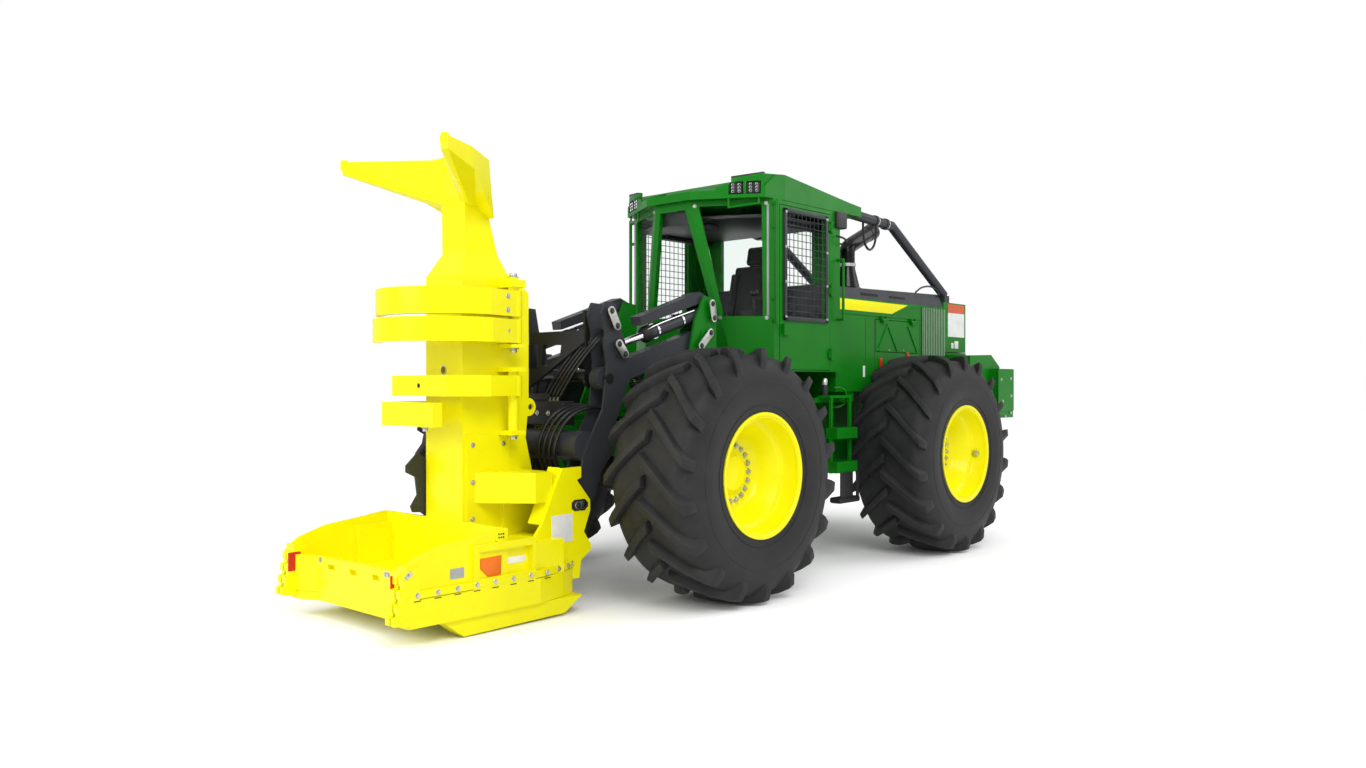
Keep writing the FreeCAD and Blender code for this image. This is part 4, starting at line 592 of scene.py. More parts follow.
def wheel_nuts(settings, side, rearward):
    """Ring of nuts on studs, and the plug in the wall of the well."""
    parts = []
    face = 0.034
    nut = bolt_head((0, side * face, settings.nut_ring), (0, side, 0), 0.0165, 0.020)
    stud = lathe([(face * side, 0.001), (face * side, 0.009), (0.062 * side, 0.009), (0.064 * side, 0.001)],
                 (0, 0, settings.nut_ring), steps=12)
    pair = joined([nut, stud])
    for k in range(settings.nuts):
        parts.append(copied(pair, turn=Matrix.Rotation(2 * math.pi * k / settings.nuts, 4, "Y")))
    bpy.data.objects.remove(pair)
    reach = 0.388 * rearward
    parts.append(lathe([(0, 0.001), (0, 0.032), (-0.022 * rearward, 0.032), (-0.030 * rearward, 0.026),
                        (-0.030 * rearward, 0.001)], (reach, side * 0.242, -0.02), (1, 0, 0), 8))
    return joined(parts)


class FELLER_OT_rims(bpy.types.Operator):
    """Stepped yellow rims with their ring of bright nuts"""
    bl_idname = "feller.rims"
    bl_label = "Rims"

    def execute(self, context):
        settings = context.scene.feller_tyre
        for label, side in WHEELS.items():
            low, high = (Vector(corner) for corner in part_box("tyre_" + label))
            centre = (low + high) / 2
            dish = rim_dish(side)
            dish.data.transform(Matrix.Translation(centre))
            settle(dish, "dressed_rim_" + label, "yellow_paint", "wheel_" + label)
            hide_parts("rim_" + label)
            nuts = wheel_nuts(settings, side, -1 if "rear" in label else 1)
            nuts.data.transform(Matrix.Translation(centre))
            settle(nuts, "wheel_nuts_" + label, "zinc", "wheel_" + label)
        return {"FINISHED"}


# -------------------------------------------------------------------------- cab
def frame_ring(x0, x1, z0, z1, width, y0, y1):
    """Flat rectangular frame standing off the side of the cab."""
    bars = [block(at(x0, y0, z0), at(x0 + width, y1, z1), 0.004),
            block(at(x1 - width, y0, z0), at(x1, y1, z1), 0.004),
            block(at(x0, y0, z0), at(x1, y1, z0 + width), 0.004),
            block(at(x0, y0, z1 - width), at(x1, y1, z1), 0.004)]
    return joined(bars)


def wire_grid(x0, x1, z0, z1, y, pitch, radius):
    """Woven guard: upright wires with level ones crossing just outside them."""
    upright = lathe([(z0, 0.0005), (z0, radius), (z1, radius), (z1, 0.0005)], at(0, y, 0), (0, 0, 1), 6)
    level = lathe([(x0, 0.0005), (x0, radius), (x1, radius), (x1, 0.0005)], at(0, y + 2 * radius, 0),
                  (1, 0, 0), 6)
    wires = []
    columns = round((x1 - x0) / pitch)
    for k in range(1, columns):
        wires.append(copied(upright, (x0 + k * (x1 - x0) / columns, 0, 0)))
    rows = round((z1 - z0) / pitch)
    for k in range(1, rows):
        wires.append(copied(level, (0, 0, z0 + k * (z1 - z0) / rows)))
    for pattern in (upright, level):
        bpy.data.objects.remove(pattern)
    return joined(wires)


class FELLER_OT_door_guards(bpy.types.Operator):
    """Mesh guards with grey frames over both door windows"""
    bl_idname = "feller.door_guards"
    bl_label = "Door guards"

    def execute(self, context):
        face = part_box("door_left")[1].y - 0.028
        x0, x1, z0, z1 = -0.262, 0.352, 2.020, 2.925
        guard = joined([frame_ring(x0, x1, z0, z1, 0.034, face, face + 0.020),
                        wire_grid(x0 + 0.02, x1 - 0.02, z0 + 0.02, z1 - 0.02, face + 0.008, 0.056, 0.0032)])
        bolts = []
        for x in (x0 + 0.017, x1 - 0.017):
            for k in range(4):
                z = z0 + 0.03 + k * (z1 - z0 - 0.06) / 3
                bolts.append(bolt_head(at(x, face + 0.0195, z), (0, 1, 0), 0.008, 0.008))
        both_sides(guard, "door_guard_{}", "dark_paint", "cab_door_{}")
        both_sides(bolts, "door_guard_bolts_{}", "zinc", "cab_door_{}")
        return {"FINISHED"}


def pillow(low, high, bulge, rounding, cuts=5):
    """Upholstered block: its faces swell and its corners are round."""
    clear_selection()
    low, high = Vector(low), Vector(high)
    bpy.ops.mesh.primitive_cube_add(size=1, location=(low + high) / 2, scale=high - low)
    piece = bpy.context.object
    bpy.ops.object.transform_apply(location=True, rotation=True, scale=True)
    bpy.ops.object.mode_set(mode="EDIT")
    bpy.ops.mesh.select_all(action="SELECT")
    bpy.ops.mesh.bevel(offset=rounding, segments=4, profile=0.5)
    bpy.ops.mesh.select_all(action="SELECT")
    bpy.ops.mesh.subdivide(number_cuts=cuts)
    bpy.ops.object.mode_set(mode="OBJECT")
    middle = (low + high) / 2
    half = (high - low) / 2
    for vertex in piece.data.vertices:
        away = vertex.co - middle
        share = Vector((away.x / half.x, away.y / half.y, away.z / half.z))
        for axis in range(3):
            others = [share[k] for k in range(3) if k != axis]
            crown = max(0, 1 - others[0] ** 2) * max(0, 1 - others[1] ** 2)
            sink = bulge * (1 - crown)
            if abs(share[axis]) > 0.97:
                away[axis] -= math.copysign(sink, away[axis])
        vertex.co = middle + away
    pick(piece)
    bpy.ops.object.shade_smooth_by_angle(angle=math.radians(50))
    return piece


class FELLER_OT_seat(bpy.types.Operator):
    """Padded seat with bolsters, backrest, headrest and belt"""
    bl_idname = "feller.seat"
    bl_label = "Seat"

    def execute(self, context):
        low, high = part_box("cab_seat")
        seat_z = low.z + 0.24
        back = high.x - 0.52
        turn = Matrix.Rotation(math.radians(-12), 4, "Y")
        cushion = pillow((back, -0.245, seat_z), (high.x - 0.005, 0.245, seat_z + 0.13), 0.018, 0.035)
        rest = pillow((-0.06, -0.225, -0.27), (0.06, 0.225, 0.27), 0.016, 0.03)
        bolsters = [pillow((-0.01, y - 0.04, -0.24), (0.085, y + 0.04, 0.20), 0.012, 0.025) for y in (-0.2,
                                                                                                      0.2)]
        back_parts = [rest] + bolsters
        for part in back_parts:
            part.data.transform(Matrix.Translation((back - 0.025, 0, seat_z + 0.40)) @ turn)
        head = pillow((-0.045, -0.125, -0.085), (0.045, 0.125, 0.085), 0.014, 0.03)
        head.data.transform(Matrix.Translation((back - 0.105, 0, seat_z + 0.76)) @ turn)
        pads = joined([cushion, *back_parts, head])
        settle(pads, "seat_pads", "seat_fabric", "rear_chassis")
        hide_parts("cab_seat")
        base = joined([
            block((low.x + 0.11, -0.19, low.z), (high.x - 0.12, 0.19, low.z + 0.06), 0.006),
            block((low.x + 0.16, -0.13, low.z + 0.06), (high.x - 0.17, 0.13, seat_z - 0.03), 0.02),
            block((back + 0.01, -0.21, seat_z - 0.035), (high.x - 0.03, 0.21, seat_z + 0.002), 0.008),
            tube([(back - 0.098, -0.06, seat_z + 0.62), (back - 0.115, -0.06, seat_z + 0.72)], 0.007),
            tube([(back - 0.098, 0.06, seat_z + 0.62), (back - 0.115, 0.06, seat_z + 0.72)], 0.007)])
        settle(base, "seat_base", "cab_plastic", "rear_chassis")
        buckle = block((back + 0.06, 0.25, seat_z + 0.06), (back + 0.10, 0.262, seat_z + 0.15), 0.004)
        settle(buckle, "belt_buckle", "reflector_red", "rear_chassis")
        return {"FINISHED"}


class FELLER_OT_cab_trim(bpy.types.Operator):
    """Lining, sun band, service lamp box and grey strips down the posts of the cab as painted highlights"""
    bl_idname = "feller.cab_trim"
    bl_label = "Cab trim"

    def execute(self, context):
        roof_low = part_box("cab_roof")[0].z
        half = 0.726
        lining = [
            plate([(-0.42, -half), (-0.42, half), (0.44, half), (0.735, 0.15), (0.735, -0.15), (0.44, -half)],
                  "z", roof_low - 0.060, roof_low - 0.030, 0.006),
            block(at(-0.422, -0.70, 2.885), at(-0.405, 0.70, 2.94), 0.004),
            block(at(-0.422, -0.70, 1.70), at(-0.405, 0.70, 2.372), 0.004),
            block(at(0.400, -0.03, roof_low - 0.125), at(0.560, 0.17, roof_low - 0.058), 0.02, 3),
        ]
        for y in (-0.64, 0.64):
            lining.append(block(at(-0.40, y - 0.05, roof_low - 0.095), at(0.25, y + 0.05, roof_low - 0.058),
                                0.02, 3))
        settle(lining, "cab_lining", "cab_plastic", "rear_chassis")
        rake = 0.13 / 0.903
        z0, z1 = 2.815, 2.945
        lean = 0.795 - rake * (2.96 - z0)
        step = rake * (z1 - z0)
        visor = plate([(lean - 0.030, z0), (lean - 0.022, z0), (lean - 0.022 + step, z1),
                       (lean - 0.030 + step, z1)],
                      "y", -0.19, 0.19, 0.001)
        settle(visor, "sun_band", "cab_plastic", "rear_chassis")
        box_low, box_high = at(-0.535, 0.700, 2.845), at(-0.385, 0.820, 2.985)
        mirror = joined([block(box_low, box_high, 0.014, 3),
                         tube([at(-0.40, 0.795, 2.775), at(-0.41, 0.85, 2.76), at(-0.46, 0.86, 2.735),
                               at(-0.50, 0.83, 2.72), at(-0.50, 0.78, 2.715), at(-0.44, 0.76, 2.72)], 0.009)])
        settle(mirror, "service_lamp_box", "cab_plastic", "rear_chassis")
        # Painted highlight: a grey strip down each front post stands for the white highlight line along the post.
        strips = [block(at(0.487, y - 0.008, 2.05), at(0.503, y + 0.008, 2.94), 0.003) for y in (0.742,
                                                                                                 -0.742)]
        settle(strips, "post_highlight_strips", "label_grey", "rear_chassis")
        return {"FINISHED"}


# ------------------------------------------------------------------------- cowl
class FELLER_OT_cowl_trim(bpy.types.Operator):
    """Stripe, hood vents drawn as black plates of painted shade, slats, latches and blank plates of the engine
    cowl
    """
    bl_idname = "feller.cowl_trim"
    bl_label = "Cowl trim"

    def execute(self, context):
        side_y = 0.735
        pieces = {}
        pieces["stripe"] = ("stripe", plate([(-0.484, 2.160), (-1.409, 2.160), (-1.702, 2.256),
                                             (-0.484, 2.256)],
                                            "y", side_y + 0.0005, side_y + 0.0035, 0.0008))
        # Painted shade: black plates sunk in the hood band stand for the dark inside its vent slots.
        vents = []
        for x in (-0.93, -1.42):
            for k in range(11):
                x0 = x - 0.026 * k
                vents.append(plate([(x0, 2.292), (x0 - 0.016, 2.292), (x0 - 0.016, 2.330), (x0, 2.330)], "y",
                                   side_y - 0.034, side_y - 0.022, 0.001))
        pieces["hood_vents"] = ("soft_black", joined(vents))
        slats = []
        pitch = 0.467 / 14
        for k in range(14):
            x0 = -2.418 + k * pitch
            slats.append(block(at(x0 + 0.002, side_y + 0.009, 1.786),
                               at(x0 + 0.48 * pitch, side_y + 0.0125, 2.252),
                               0.0012, 1))
        pieces["slat_faces"] = ("slat_paint", joined(slats))
        latches = []
        for x, z in ((-1.206, 1.700), (-1.690, 1.760)):
            latch = block(at(x - 0.020, side_y, z - 0.045), at(x + 0.020, side_y + 0.014, z + 0.045), 0.012,
                          3)
            latches.append(latch)
        pieces["latches"] = ("reflector_red", joined(latches))
        blanks = [block(at(x - w, side_y + 0.0005, z - h), at(x + w, side_y + 0.002, z + h), 0.0006, 1)
                  for x, z, w, h in ((-0.93, 1.62, 0.018, 0.05), (-1.12, 1.545, 0.03, 0.035),
                                     (-1.20, 1.545, 0.02, 0.05), (-1.62, 1.60, 0.015, 0.04))]
        pieces["cowl_blanks"] = ("label_white", joined(blanks))
        for name, (finish, piece) in pieces.items():
            both_sides(piece, name + "_{}", finish, "rear_chassis")
        plate_x, plate_y = (-2.87, -2.52), (0.725, 0.7275)
        for name, finish, z0, z1 in (("tail_blank_plate", "label_white", 1.985, 2.228),
                                     ("tail_blank_band", "warning_orange", 2.229, 2.318)):
            bare = block(at(plate_x[0], plate_y[0], z0), at(plate_x[1], plate_y[1], z1), 0.001, 1)
            settle(bare, name, finish, "rear_chassis")
        small = joined([block(at(-2.74, 0.725, 1.868), at(-2.66, 0.727, 1.945), 0.0006, 1),
                        block(at(-2.64, 0.725, 1.868), at(-2.59, 0.727, 1.925), 0.0006, 1)])
        settle(small, "tail_small_blanks", "label_white", "rear_chassis")
        seams = []
        for x in (-0.955, -1.11, -1.93):
            seams.append(block(at(x - 0.003, side_y - 0.001, 1.47), at(x + 0.003, side_y + 0.0012, 2.10),
                               0.0008, 1))
        rivets = []
        for k in range(9):
            rivets.append(bolt_head(at(-0.56 - k * 0.21, side_y - 0.0175, 2.277), (0, 1, 0.35), 0.007, 0.006))
        for x in (-1.16, -1.36, -1.62, -1.87):
            rivets.append(bolt_head(at(x, side_y + 0.003, 1.822), (0, 1, 0), 0.006, 0.005))
        both_sides(seams, "panel_seams_{}", "soft_black", "rear_chassis")
        both_sides(rivets, "cowl_rivets_{}", "zinc", "rear_chassis")
        return {"FINISHED"}


# ------------------------------------------------------------------- felling head
def tag(x0, x1, z0, z1, y, thick=0.0015):
    """Blank label on a face that looks to the left."""
    return block(at(x0, y, z0), at(x1, y + thick, z1), 0.0006, 1)


class FELLER_OT_head_bolts(bpy.types.Operator):
    """Bolts of the mast covers, the tray skirt, the horns and the front wall, with the skirt strip and its marks
    """
    bl_idname = "feller.head_bolts"
    bl_label = "Head bolts"

    def execute(self, context):
        cover = 0.216
        wall = 0.7002
        sides = []
        for x in (2.715, 2.965):
            for z in (0.625, 0.865, 1.110):
                sides.append(bolt_head(at(x, cover, z), (0, 1, 0), 0.012, 0.012))
        strip_low, strip_high = 0.284, 0.330
        outer = [(3.745, 0.7015), (2.80, 0.7015), (2.56, 0.6415), (2.44, 0.5915), (2.38, 0.5365)]
        inner = [(x + (0.008 if y < wall - 0.01 else 0), y - 0.026) for x, y in reversed(outer)]
        strip = plate(outer + inner, "z", strip_low, strip_high, 0.004)
        both_sides(strip, "skirt_strip_{}", "yellow_paint", "felling_head")
        bolt_pitch = 0.1375
        spots = [(3.703 - bolt_pitch * k, 0.7015, (0, 1, 0)) for k in range(8)]
        spots += [(2.607, 0.6533, (-0.24, 0.97, 0)), (2.495, 0.6145, (-0.38, 0.92, 0)),
                  (2.416, 0.5695, (-0.68, 0.74, 0))]
        for x, y, face in spots:
            sides.append(bolt_head(at(x, y, 0.308), face, 0.0115, 0.012))
        for x, z in ((3.772, 0.42), (3.752, 0.435)):
            sides.append(bolt_head(at(x, wall, z), (0, 1, 0), 0.011, 0.010))
        both_sides(sides, "head_bolts_{}", "zinc", "felling_head")
        dashes = [block(at(x - 0.024, wall - 0.001, 0.2705), at(x + 0.024, wall + 0.0008, 0.2765), 0.0004, 1)
                  for x, y, face in spots[:8]]
        both_sides(dashes, "skirt_marks_{}", "soft_black", "felling_head")
        front = []
        face = 3.750 - 0.050
        for y in (0.395, 0.365, -0.395):
            front.append(bolt_head(at(face, y, 0.385), (1, 0, 0), 0.012, 0.011))
        settle(front, "front_wall_bolts", "zinc", "felling_head")
        return {"FINISHED"}


class FELLER_OT_head_marks(bpy.types.Operator):
    """Reflectors, blank plates and the drilled bracket of the head, its holes drawn as black discs of painted
    shade
    """
    bl_idname = "feller.head_marks"
    bl_label = "Head marks"

    def execute(self, context):
        wall, housing = 0.675, 0.650
        orange = plate([(3.250, 0.455), (3.092, 0.459), (3.096, 0.344), (3.190, 0.338), (3.250, 0.394)], "y",
                       wall, wall + 0.006, 0.0015)
        both_sides(orange, "orange_reflector_{}", "reflector_orange", "felling_head")
        blanks = joined([tag(2.882, 3.030, 0.392, 0.434, housing), tag(2.401, 2.585, 0.455, 0.640, 0.555)])
        both_sides(blanks, "head_blanks_{}", "label_white", "felling_head")
        grey = tag(3.366, 3.466, 0.361, 0.422, 0.675)
        settle(grey, "head_grey_plate", "label_grey", "felling_head")
        arrows = []
        for side in (1, -1):
            inner = side * 0.600
            arrow = plate([(3.815, 0.300), (3.815, 0.420), (3.735, 0.420), (3.690, 0.360), (3.735, 0.300)],
                          "y",
                          min(inner, inner - side * 0.005), max(inner, inner - side * 0.005), 0.0015)
            arrows.append(arrow)
        settle(arrows, "horn_reflectors", "reflector_red", "felling_head")
        caps = [bolt_head(at(3.735, side * 0.595, 0.360), (0, -side, 0), 0.012, 0.01) for side in (1, -1)]
        settle(caps, "reflector_bolts", "zinc", "felling_head")
        bracket = joined([block(at(3.066, wall, 0.544), at(3.132, wall + 0.010, 0.606), 0.002),
                          block(at(3.066, wall, 0.544), at(3.132, wall + 0.030, 0.553), 0.002)])
        # Painted shade: black discs on the bracket stand for the dark of its holes, which are not cut.
        holes = [lathe([(0, 0.001), (0, 0.006), (0.001, 0.006), (0.001, 0.001)], at(x, wall + 0.010, z),
                       steps=12)
                 for x in (3.082, 3.099, 3.116) for z in (0.570, 0.590)]
        web = plate([(2.730, 0.420), (2.730, 0.790), (2.610, 0.790), (2.330, 0.700), (2.330, 0.420)], "y",
                    0.215, 0.230, 0.003)
        settle(paired(web), "foot_webs", "yellow_paint", "felling_head")
        settle([bracket], "drilled_bracket", "yellow_paint", "felling_head")
        settle(holes, "drilled_bracket_hole_shades", "soft_black", "felling_head")
        return {"FINISHED"}


class FELLER_OT_pin_keepers(bpy.types.Operator):
    """Bright oval keepers over the pins of boom, tower and head, and a black sheet of painted shade round the head
    pin
    """
    bl_idname = "feller.pin_keepers"
    bl_label = "Pin keepers"

    def keeper(self, start, end, y, half):
        """Rounded plate from one point to another with a bolt at each end."""
        start, end = Vector((start[0], start[1])), Vector((end[0], end[1]))
        along = (end - start).normalized()
        turn = math.atan2(along.y, along.x)
        outline = []
        for centre, first in ((end, -90), (start, 90)):
            for step in range(9):
                angle = turn + math.radians(first + step * 22.5)
                outline.append((centre.x + half * math.cos(angle), centre.y + half * math.sin(angle)))
        body = plate(outline, "y", y, y + 0.012, 0.003)
        bolts = [bolt_head(at(p.x, y + 0.0118, p.y), (0, 1, 0), 0.015, 0.011) for p in (start, end)]
        return body, joined(bolts)

    def execute(self, context):
        spots = (
            ("felling_head", (2.036, 2.019), (1.981, 1.916), 0.5482, 0.033),
            ("felling_head", (1.962, 1.790), (1.905, 1.720), 0.5482, 0.033),
            ("front_chassis", (0.955, 2.130), (0.935, 2.020), 0.5482, 0.033),
            ("front_chassis", (0.975, 1.905), (1.085, 1.800), 0.5482, 0.033),
        )
        for number, (body, start, end, y, half) in enumerate(spots):
            piece, bolts = self.keeper(start, end, y, half)
            both_sides(piece, "pin_keeper_{}_%d" % number, "zinc", body)
            settle(paired(bolts), "keeper_bolts_%d" % number, "dark_steel", body)
        # Painted shade: a thin black sheet round the head pin stands for the dark of its recess.
        head_pin = joined([
            plate([(2.409, 0.672), (2.409, 0.712), (2.386, 0.729), (2.290, 0.729), (2.262, 0.704),
                   (2.262, 0.678),
                   (2.290, 0.653), (2.386, 0.653)], "y", 0.555, 0.558, 0.001)])
        both_sides(head_pin, "head_pin_recess_{}", "soft_black", "felling_head")
        caps, bolts = self.keeper((2.312, 0.691), (2.362, 0.691), 0.558, 0.025)
        settle(paired(bolts), "head_keeper_bolts", "dark_steel", "felling_head")
        both_sides(caps, "head_pin_keeper_{}", "zinc", "felling_head")
        return {"FINISHED"}


# --------------------------------------------------------------------- pipework
def clamp_ring(centre, direction, radius, width=0.022):
    """Bright band round a pipe."""
    half = width / 2
    return lathe([(-half, radius - 0.003), (-half, radius + 0.004), (half, radius + 0.004),
                  (half, radius - 0.003)], centre, direction, 32)


class FELLER_OT_exhaust(bpy.types.Operator):
    """Black exhaust: base cone, swept pipe with a flared mouth and its bright clamp"""
    bl_idname = "feller.exhaust"
    bl_label = "Exhaust"

    def execute(self, context):
        low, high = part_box("exhaust")
        x, y = -1.245, (low.y + high.y) / 2
        bore = 0.074
        base = lathe([(0, 0.001), (0, 0.146), (0.115, 0.146), (0.130, 0.120), (0.300, bore + 0.004),
                           (0.320, bore + 0.002), (0.320, 0.001)], at(x, y, low.z), (0, 0, 1), 48)
        slope = Vector((-0.910, 0, 0.414))
        mouth = at(-1.690, y, 3.000)
        pipe = tube([at(x, y, low.z + 0.29), at(x, y, 2.700), at(x, y, 2.800), at(-1.400, y, 2.868),
                     mouth - slope * 0.09], bore, 32)
        flare = lathe([(-0.11, bore - 0.001), (-0.11, bore + 0.003), (0, bore + 0.010), (0, bore + 0.004),
                            (-0.09, bore - 0.004)], mouth, slope, 48)
        stack = joined([base, pipe, flare])
        settle(stack, "exhaust_stack", "pipe_black", "rear_chassis", "dark_paint")
        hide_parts("exhaust")
        band = clamp_ring(at(x, y, 2.630), (0, 0, 1), bore + 0.003, 0.030)
        settle(band, "exhaust_clamp", "zinc", "rear_chassis")
        return {"FINISHED"}


class FELLER_OT_cab_pipework(bpy.types.Operator):
    """Bands and cable loops of the limb risers, and the cable on the hood"""
    bl_idname = "feller.cab_pipework"
    bl_label = "Riser bands and cables"

    def execute(self, context):
        riser_y, riser_r = 0.680, 0.045
        bands = []
        for x in (-1.212, -1.392):
            z = 3.027 + 0.0462 * (x + 0.800)
            bands.append(clamp_ring(at(x, riser_y, z), (-1, 0, -0.0462), riser_r + 0.004, 0.010))
        bands = joined(bands)
        both_sides(bands, "riser_bands_{}", "zinc", "rear_chassis")
        loop = tube([at(-1.035, 0.66, 2.99), at(-1.03, 0.66, 2.88), at(-1.07, 0.66, 2.77),
                     at(-1.145, 0.66, 2.73), at(-1.225, 0.66, 2.78), at(-1.26, 0.66, 2.89),
                     at(-1.25, 0.66, 2.975)], 0.011)
        hood = tube([at(-1.95, 0.68, 2.40), at(-2.02, 0.685, 2.445), at(-2.12, 0.69, 2.470),
                     at(-2.24, 0.69, 2.478), at(-2.35, 0.69, 2.455), at(-2.40, 0.69, 2.42),
                     at(-2.37, 0.70, 2.39)], 0.009)
        settle([loop, hood], "cable_loops", "hose", "rear_chassis")
        return {"FINISHED"}


# ------------------------------------------------------------------- roof and boom
class FELLER_OT_roof_trim(bpy.types.Operator):
    """Work lamps in the roof pods, their bezels and the strip over them"""
    bl_idname = "feller.roof_trim"
    bl_label = "Roof lamps"

    def corner_frame(self):
        """Matrix that lays s, outward, z on the left roof corner."""
        nose, corner = at(0.869, 0.240, 0), at(0.565, 0.770, 0)
        run = (corner - nose).normalized()
        out = Vector((run.y, -run.x, 0))
        lay = Matrix((run, out, (0, 0, 1))).transposed().to_4x4()
        return Matrix.Translation(nose) @ lay

    def execute(self, context):
        lay = self.corner_frame()
        s0, s1, z0, z1, deep = 0.317, 0.574, 3.016, 3.116, -0.044
        middle = (s0 + s1) / 2
        black, cups = [], []
        black.append(block((s0, deep, z0), (s1, deep + 0.006, z1), 0.001, 1))
        for first, last in ((s0 + 0.006, middle - 0.020), (middle + 0.020, s1 - 0.006)):
            black.append(block((first, deep, z0 + 0.007), (last, -0.014, z1 - 0.007), 0.006))
            for side in (first, (first + last) / 2 - 0.003, last - 0.006):
                black.append(block((side, -0.015, z0 + 0.007), (side + 0.006, -0.006, z1 - 0.007), 0.001, 1))
            for z in (z0 + 0.007, z1 - 0.013):
                black.append(block((first, -0.015, z), (last, -0.006, z + 0.006), 0.001, 1))
            for column in (0.25, 0.75):
                for row in (0.2, 0.5, 0.8):
                    centre = (first + (last - first) * column, -0.016, z0 + 0.007 + (z1 - z0 - 0.014) * row)
                    cups.append(lathe([(0.0, 0.001), (0.002, 0.008), (0.006, 0.013), (0.008, 0.0135),
                                       (0.001, 0.0135), (-0.002, 0.001)], centre, (0, 1, 0), 16))
        post = block((middle - 0.012, deep, z0 - 0.004), (middle + 0.012, -0.010, z1 + 0.004), 0.003)
        wedge = block((0.335, -0.060, 3.104), (0.600, -0.010, 3.150), 0.002)
        strip = block((0.335, -0.060, 3.149), (0.600, -0.010, 3.161), 0.002)
        for vertex in [*wedge.data.vertices, *strip.data.vertices]:
            vertex.co.z += (vertex.co.x - 0.335) * (0.246 if vertex.co.z < 3.12 else 0.105)
        for piece, name, finish, slot in ((joined(cups), "lamp_cups", "lamp_lens", "lamp_lens"),
                                          (joined(black), "lamp_bezels", "soft_black", None),
                                          (post, "lamp_posts", "green_paint", "green_paint"),
                                          (wedge, "pod_wedge", "green_paint", "green_paint"),
                                          (strip, "roof_strip", "soft_black", None)):
            piece.data.transform(lay)
            outward(piece)
            both = joined([mirrored(piece), piece])
            settle(both, name, finish, "rear_chassis", slot)
            if name == "lamp_cups":
                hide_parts("roof_lamps")
        return {"FINISHED"}


class FELLER_OT_boom_trim(bpy.types.Operator):
    """Bright rods along the tilt guards' lower edges as painted highlights, bands and glands of the tilt
    cylinders, and the head hoses
    """
    bl_idname = "feller.boom_trim"
    bl_label = "Boom trim"

    def execute(self, context):
        root = at(0.927, 0.440, 2.077)
        along = Vector((0.9553, 0, -0.2956))
        up = Vector((0.2956, 0, 0.9553))
        barrel_r = 0.052
        line_y = Vector((0, 0.042, 0))
        # Painted highlight: a thin chrome rod just under each tilt guard stands for the bright line along the
        # guard's lower edge.
        line = tube([root + along * 0.16 + up * 0.044 + line_y, root + along * 0.30 + up * 0.047 + line_y,
                     root + along * 0.64 + up * 0.047 + line_y, root + along * 0.70 + up * 0.036 + line_y], 0.0075)
        bright = joined([line, clamp_ring(root + along * 0.586, along, barrel_r + 0.003, 0.016),
                         clamp_ring(root + along * 0.30, along, barrel_r + 0.003, 0.016)])
        gland = lathe([(0.655, barrel_r - 0.01), (0.655, barrel_r + 0.010), (0.700, barrel_r + 0.010),
                            (0.712, barrel_r + 0.002), (0.722, 0.045), (0.722, 0.029), (0.700, 0.029)],
                           root, along, 32)
        both_sides(bright, "tilt_hard_line_{}", "chrome_rod", "tilt_cylinder")
        both_sides(gland, "tilt_gland_{}", "soft_black", "tilt_cylinder")
        hoses = []
        for k in range(4):
            shift = Vector((0.004 * k, -0.050 * k, 0.006 * k))
            hoses.append(tube([at(1.990, 0.42, 1.335) + shift, at(2.120, 0.42, 1.350) + shift,
                               at(2.290, 0.395, 1.290) + shift, at(2.365, 0.350, 1.150) + shift,
                               at(2.365, 0.310, 1.000) + shift, at(2.300, 0.300, 0.900) + shift], 0.0135))
        for k in range(5):
            shift = Vector((0.006 * k, -0.034 * k, 0))
            hoses.append(tube([at(1.960, 0.44, 1.900) + shift, at(2.060, 0.42, 1.800) + shift,
                               at(2.130, 0.33, 1.660) + shift, at(2.150, 0.20, 1.500) + shift,
                               at(2.150, 0.12, 1.380) + shift], 0.0115))
        settle(hoses, "head_hoses", "hose", "felling_head")
        valves = [block(at(2.095, -0.22, 1.215), at(2.225, 0.24, 1.385), 0.010),
                  block(at(2.120, -0.18, 1.380), at(2.200, 0.05, 1.440), 0.008),
                  lathe([(0, 0.001), (0, 0.026), (0.06, 0.026), (0.07, 0.018), (0.07, 0.001)],
                             at(2.160, -0.13, 1.438), (0, 0, 1), 24)]
        settle(valves, "head_valve_block", "soft_black", "felling_head")
        fittings = []
        for k in range(5):
            fittings.append(lathe([(0, 0.001), (0, 0.016), (0.024, 0.016), (0.024, 0.011), (0.042, 0.011),
                                        (0.042, 0.001)], at(2.156 + 0.006 * k, 0.12 - 0.034 * k, 1.372),
                                       (0, 0.2, 1), 6))
        for y in (-0.14, -0.02, 0.10, 0.20):
            fittings.append(bolt_head(at(2.225, y, 1.30), (1, 0, 0), 0.013, 0.014))
        settle(fittings, "head_hose_fittings", "zinc", "felling_head")
        return {"FINISHED"}


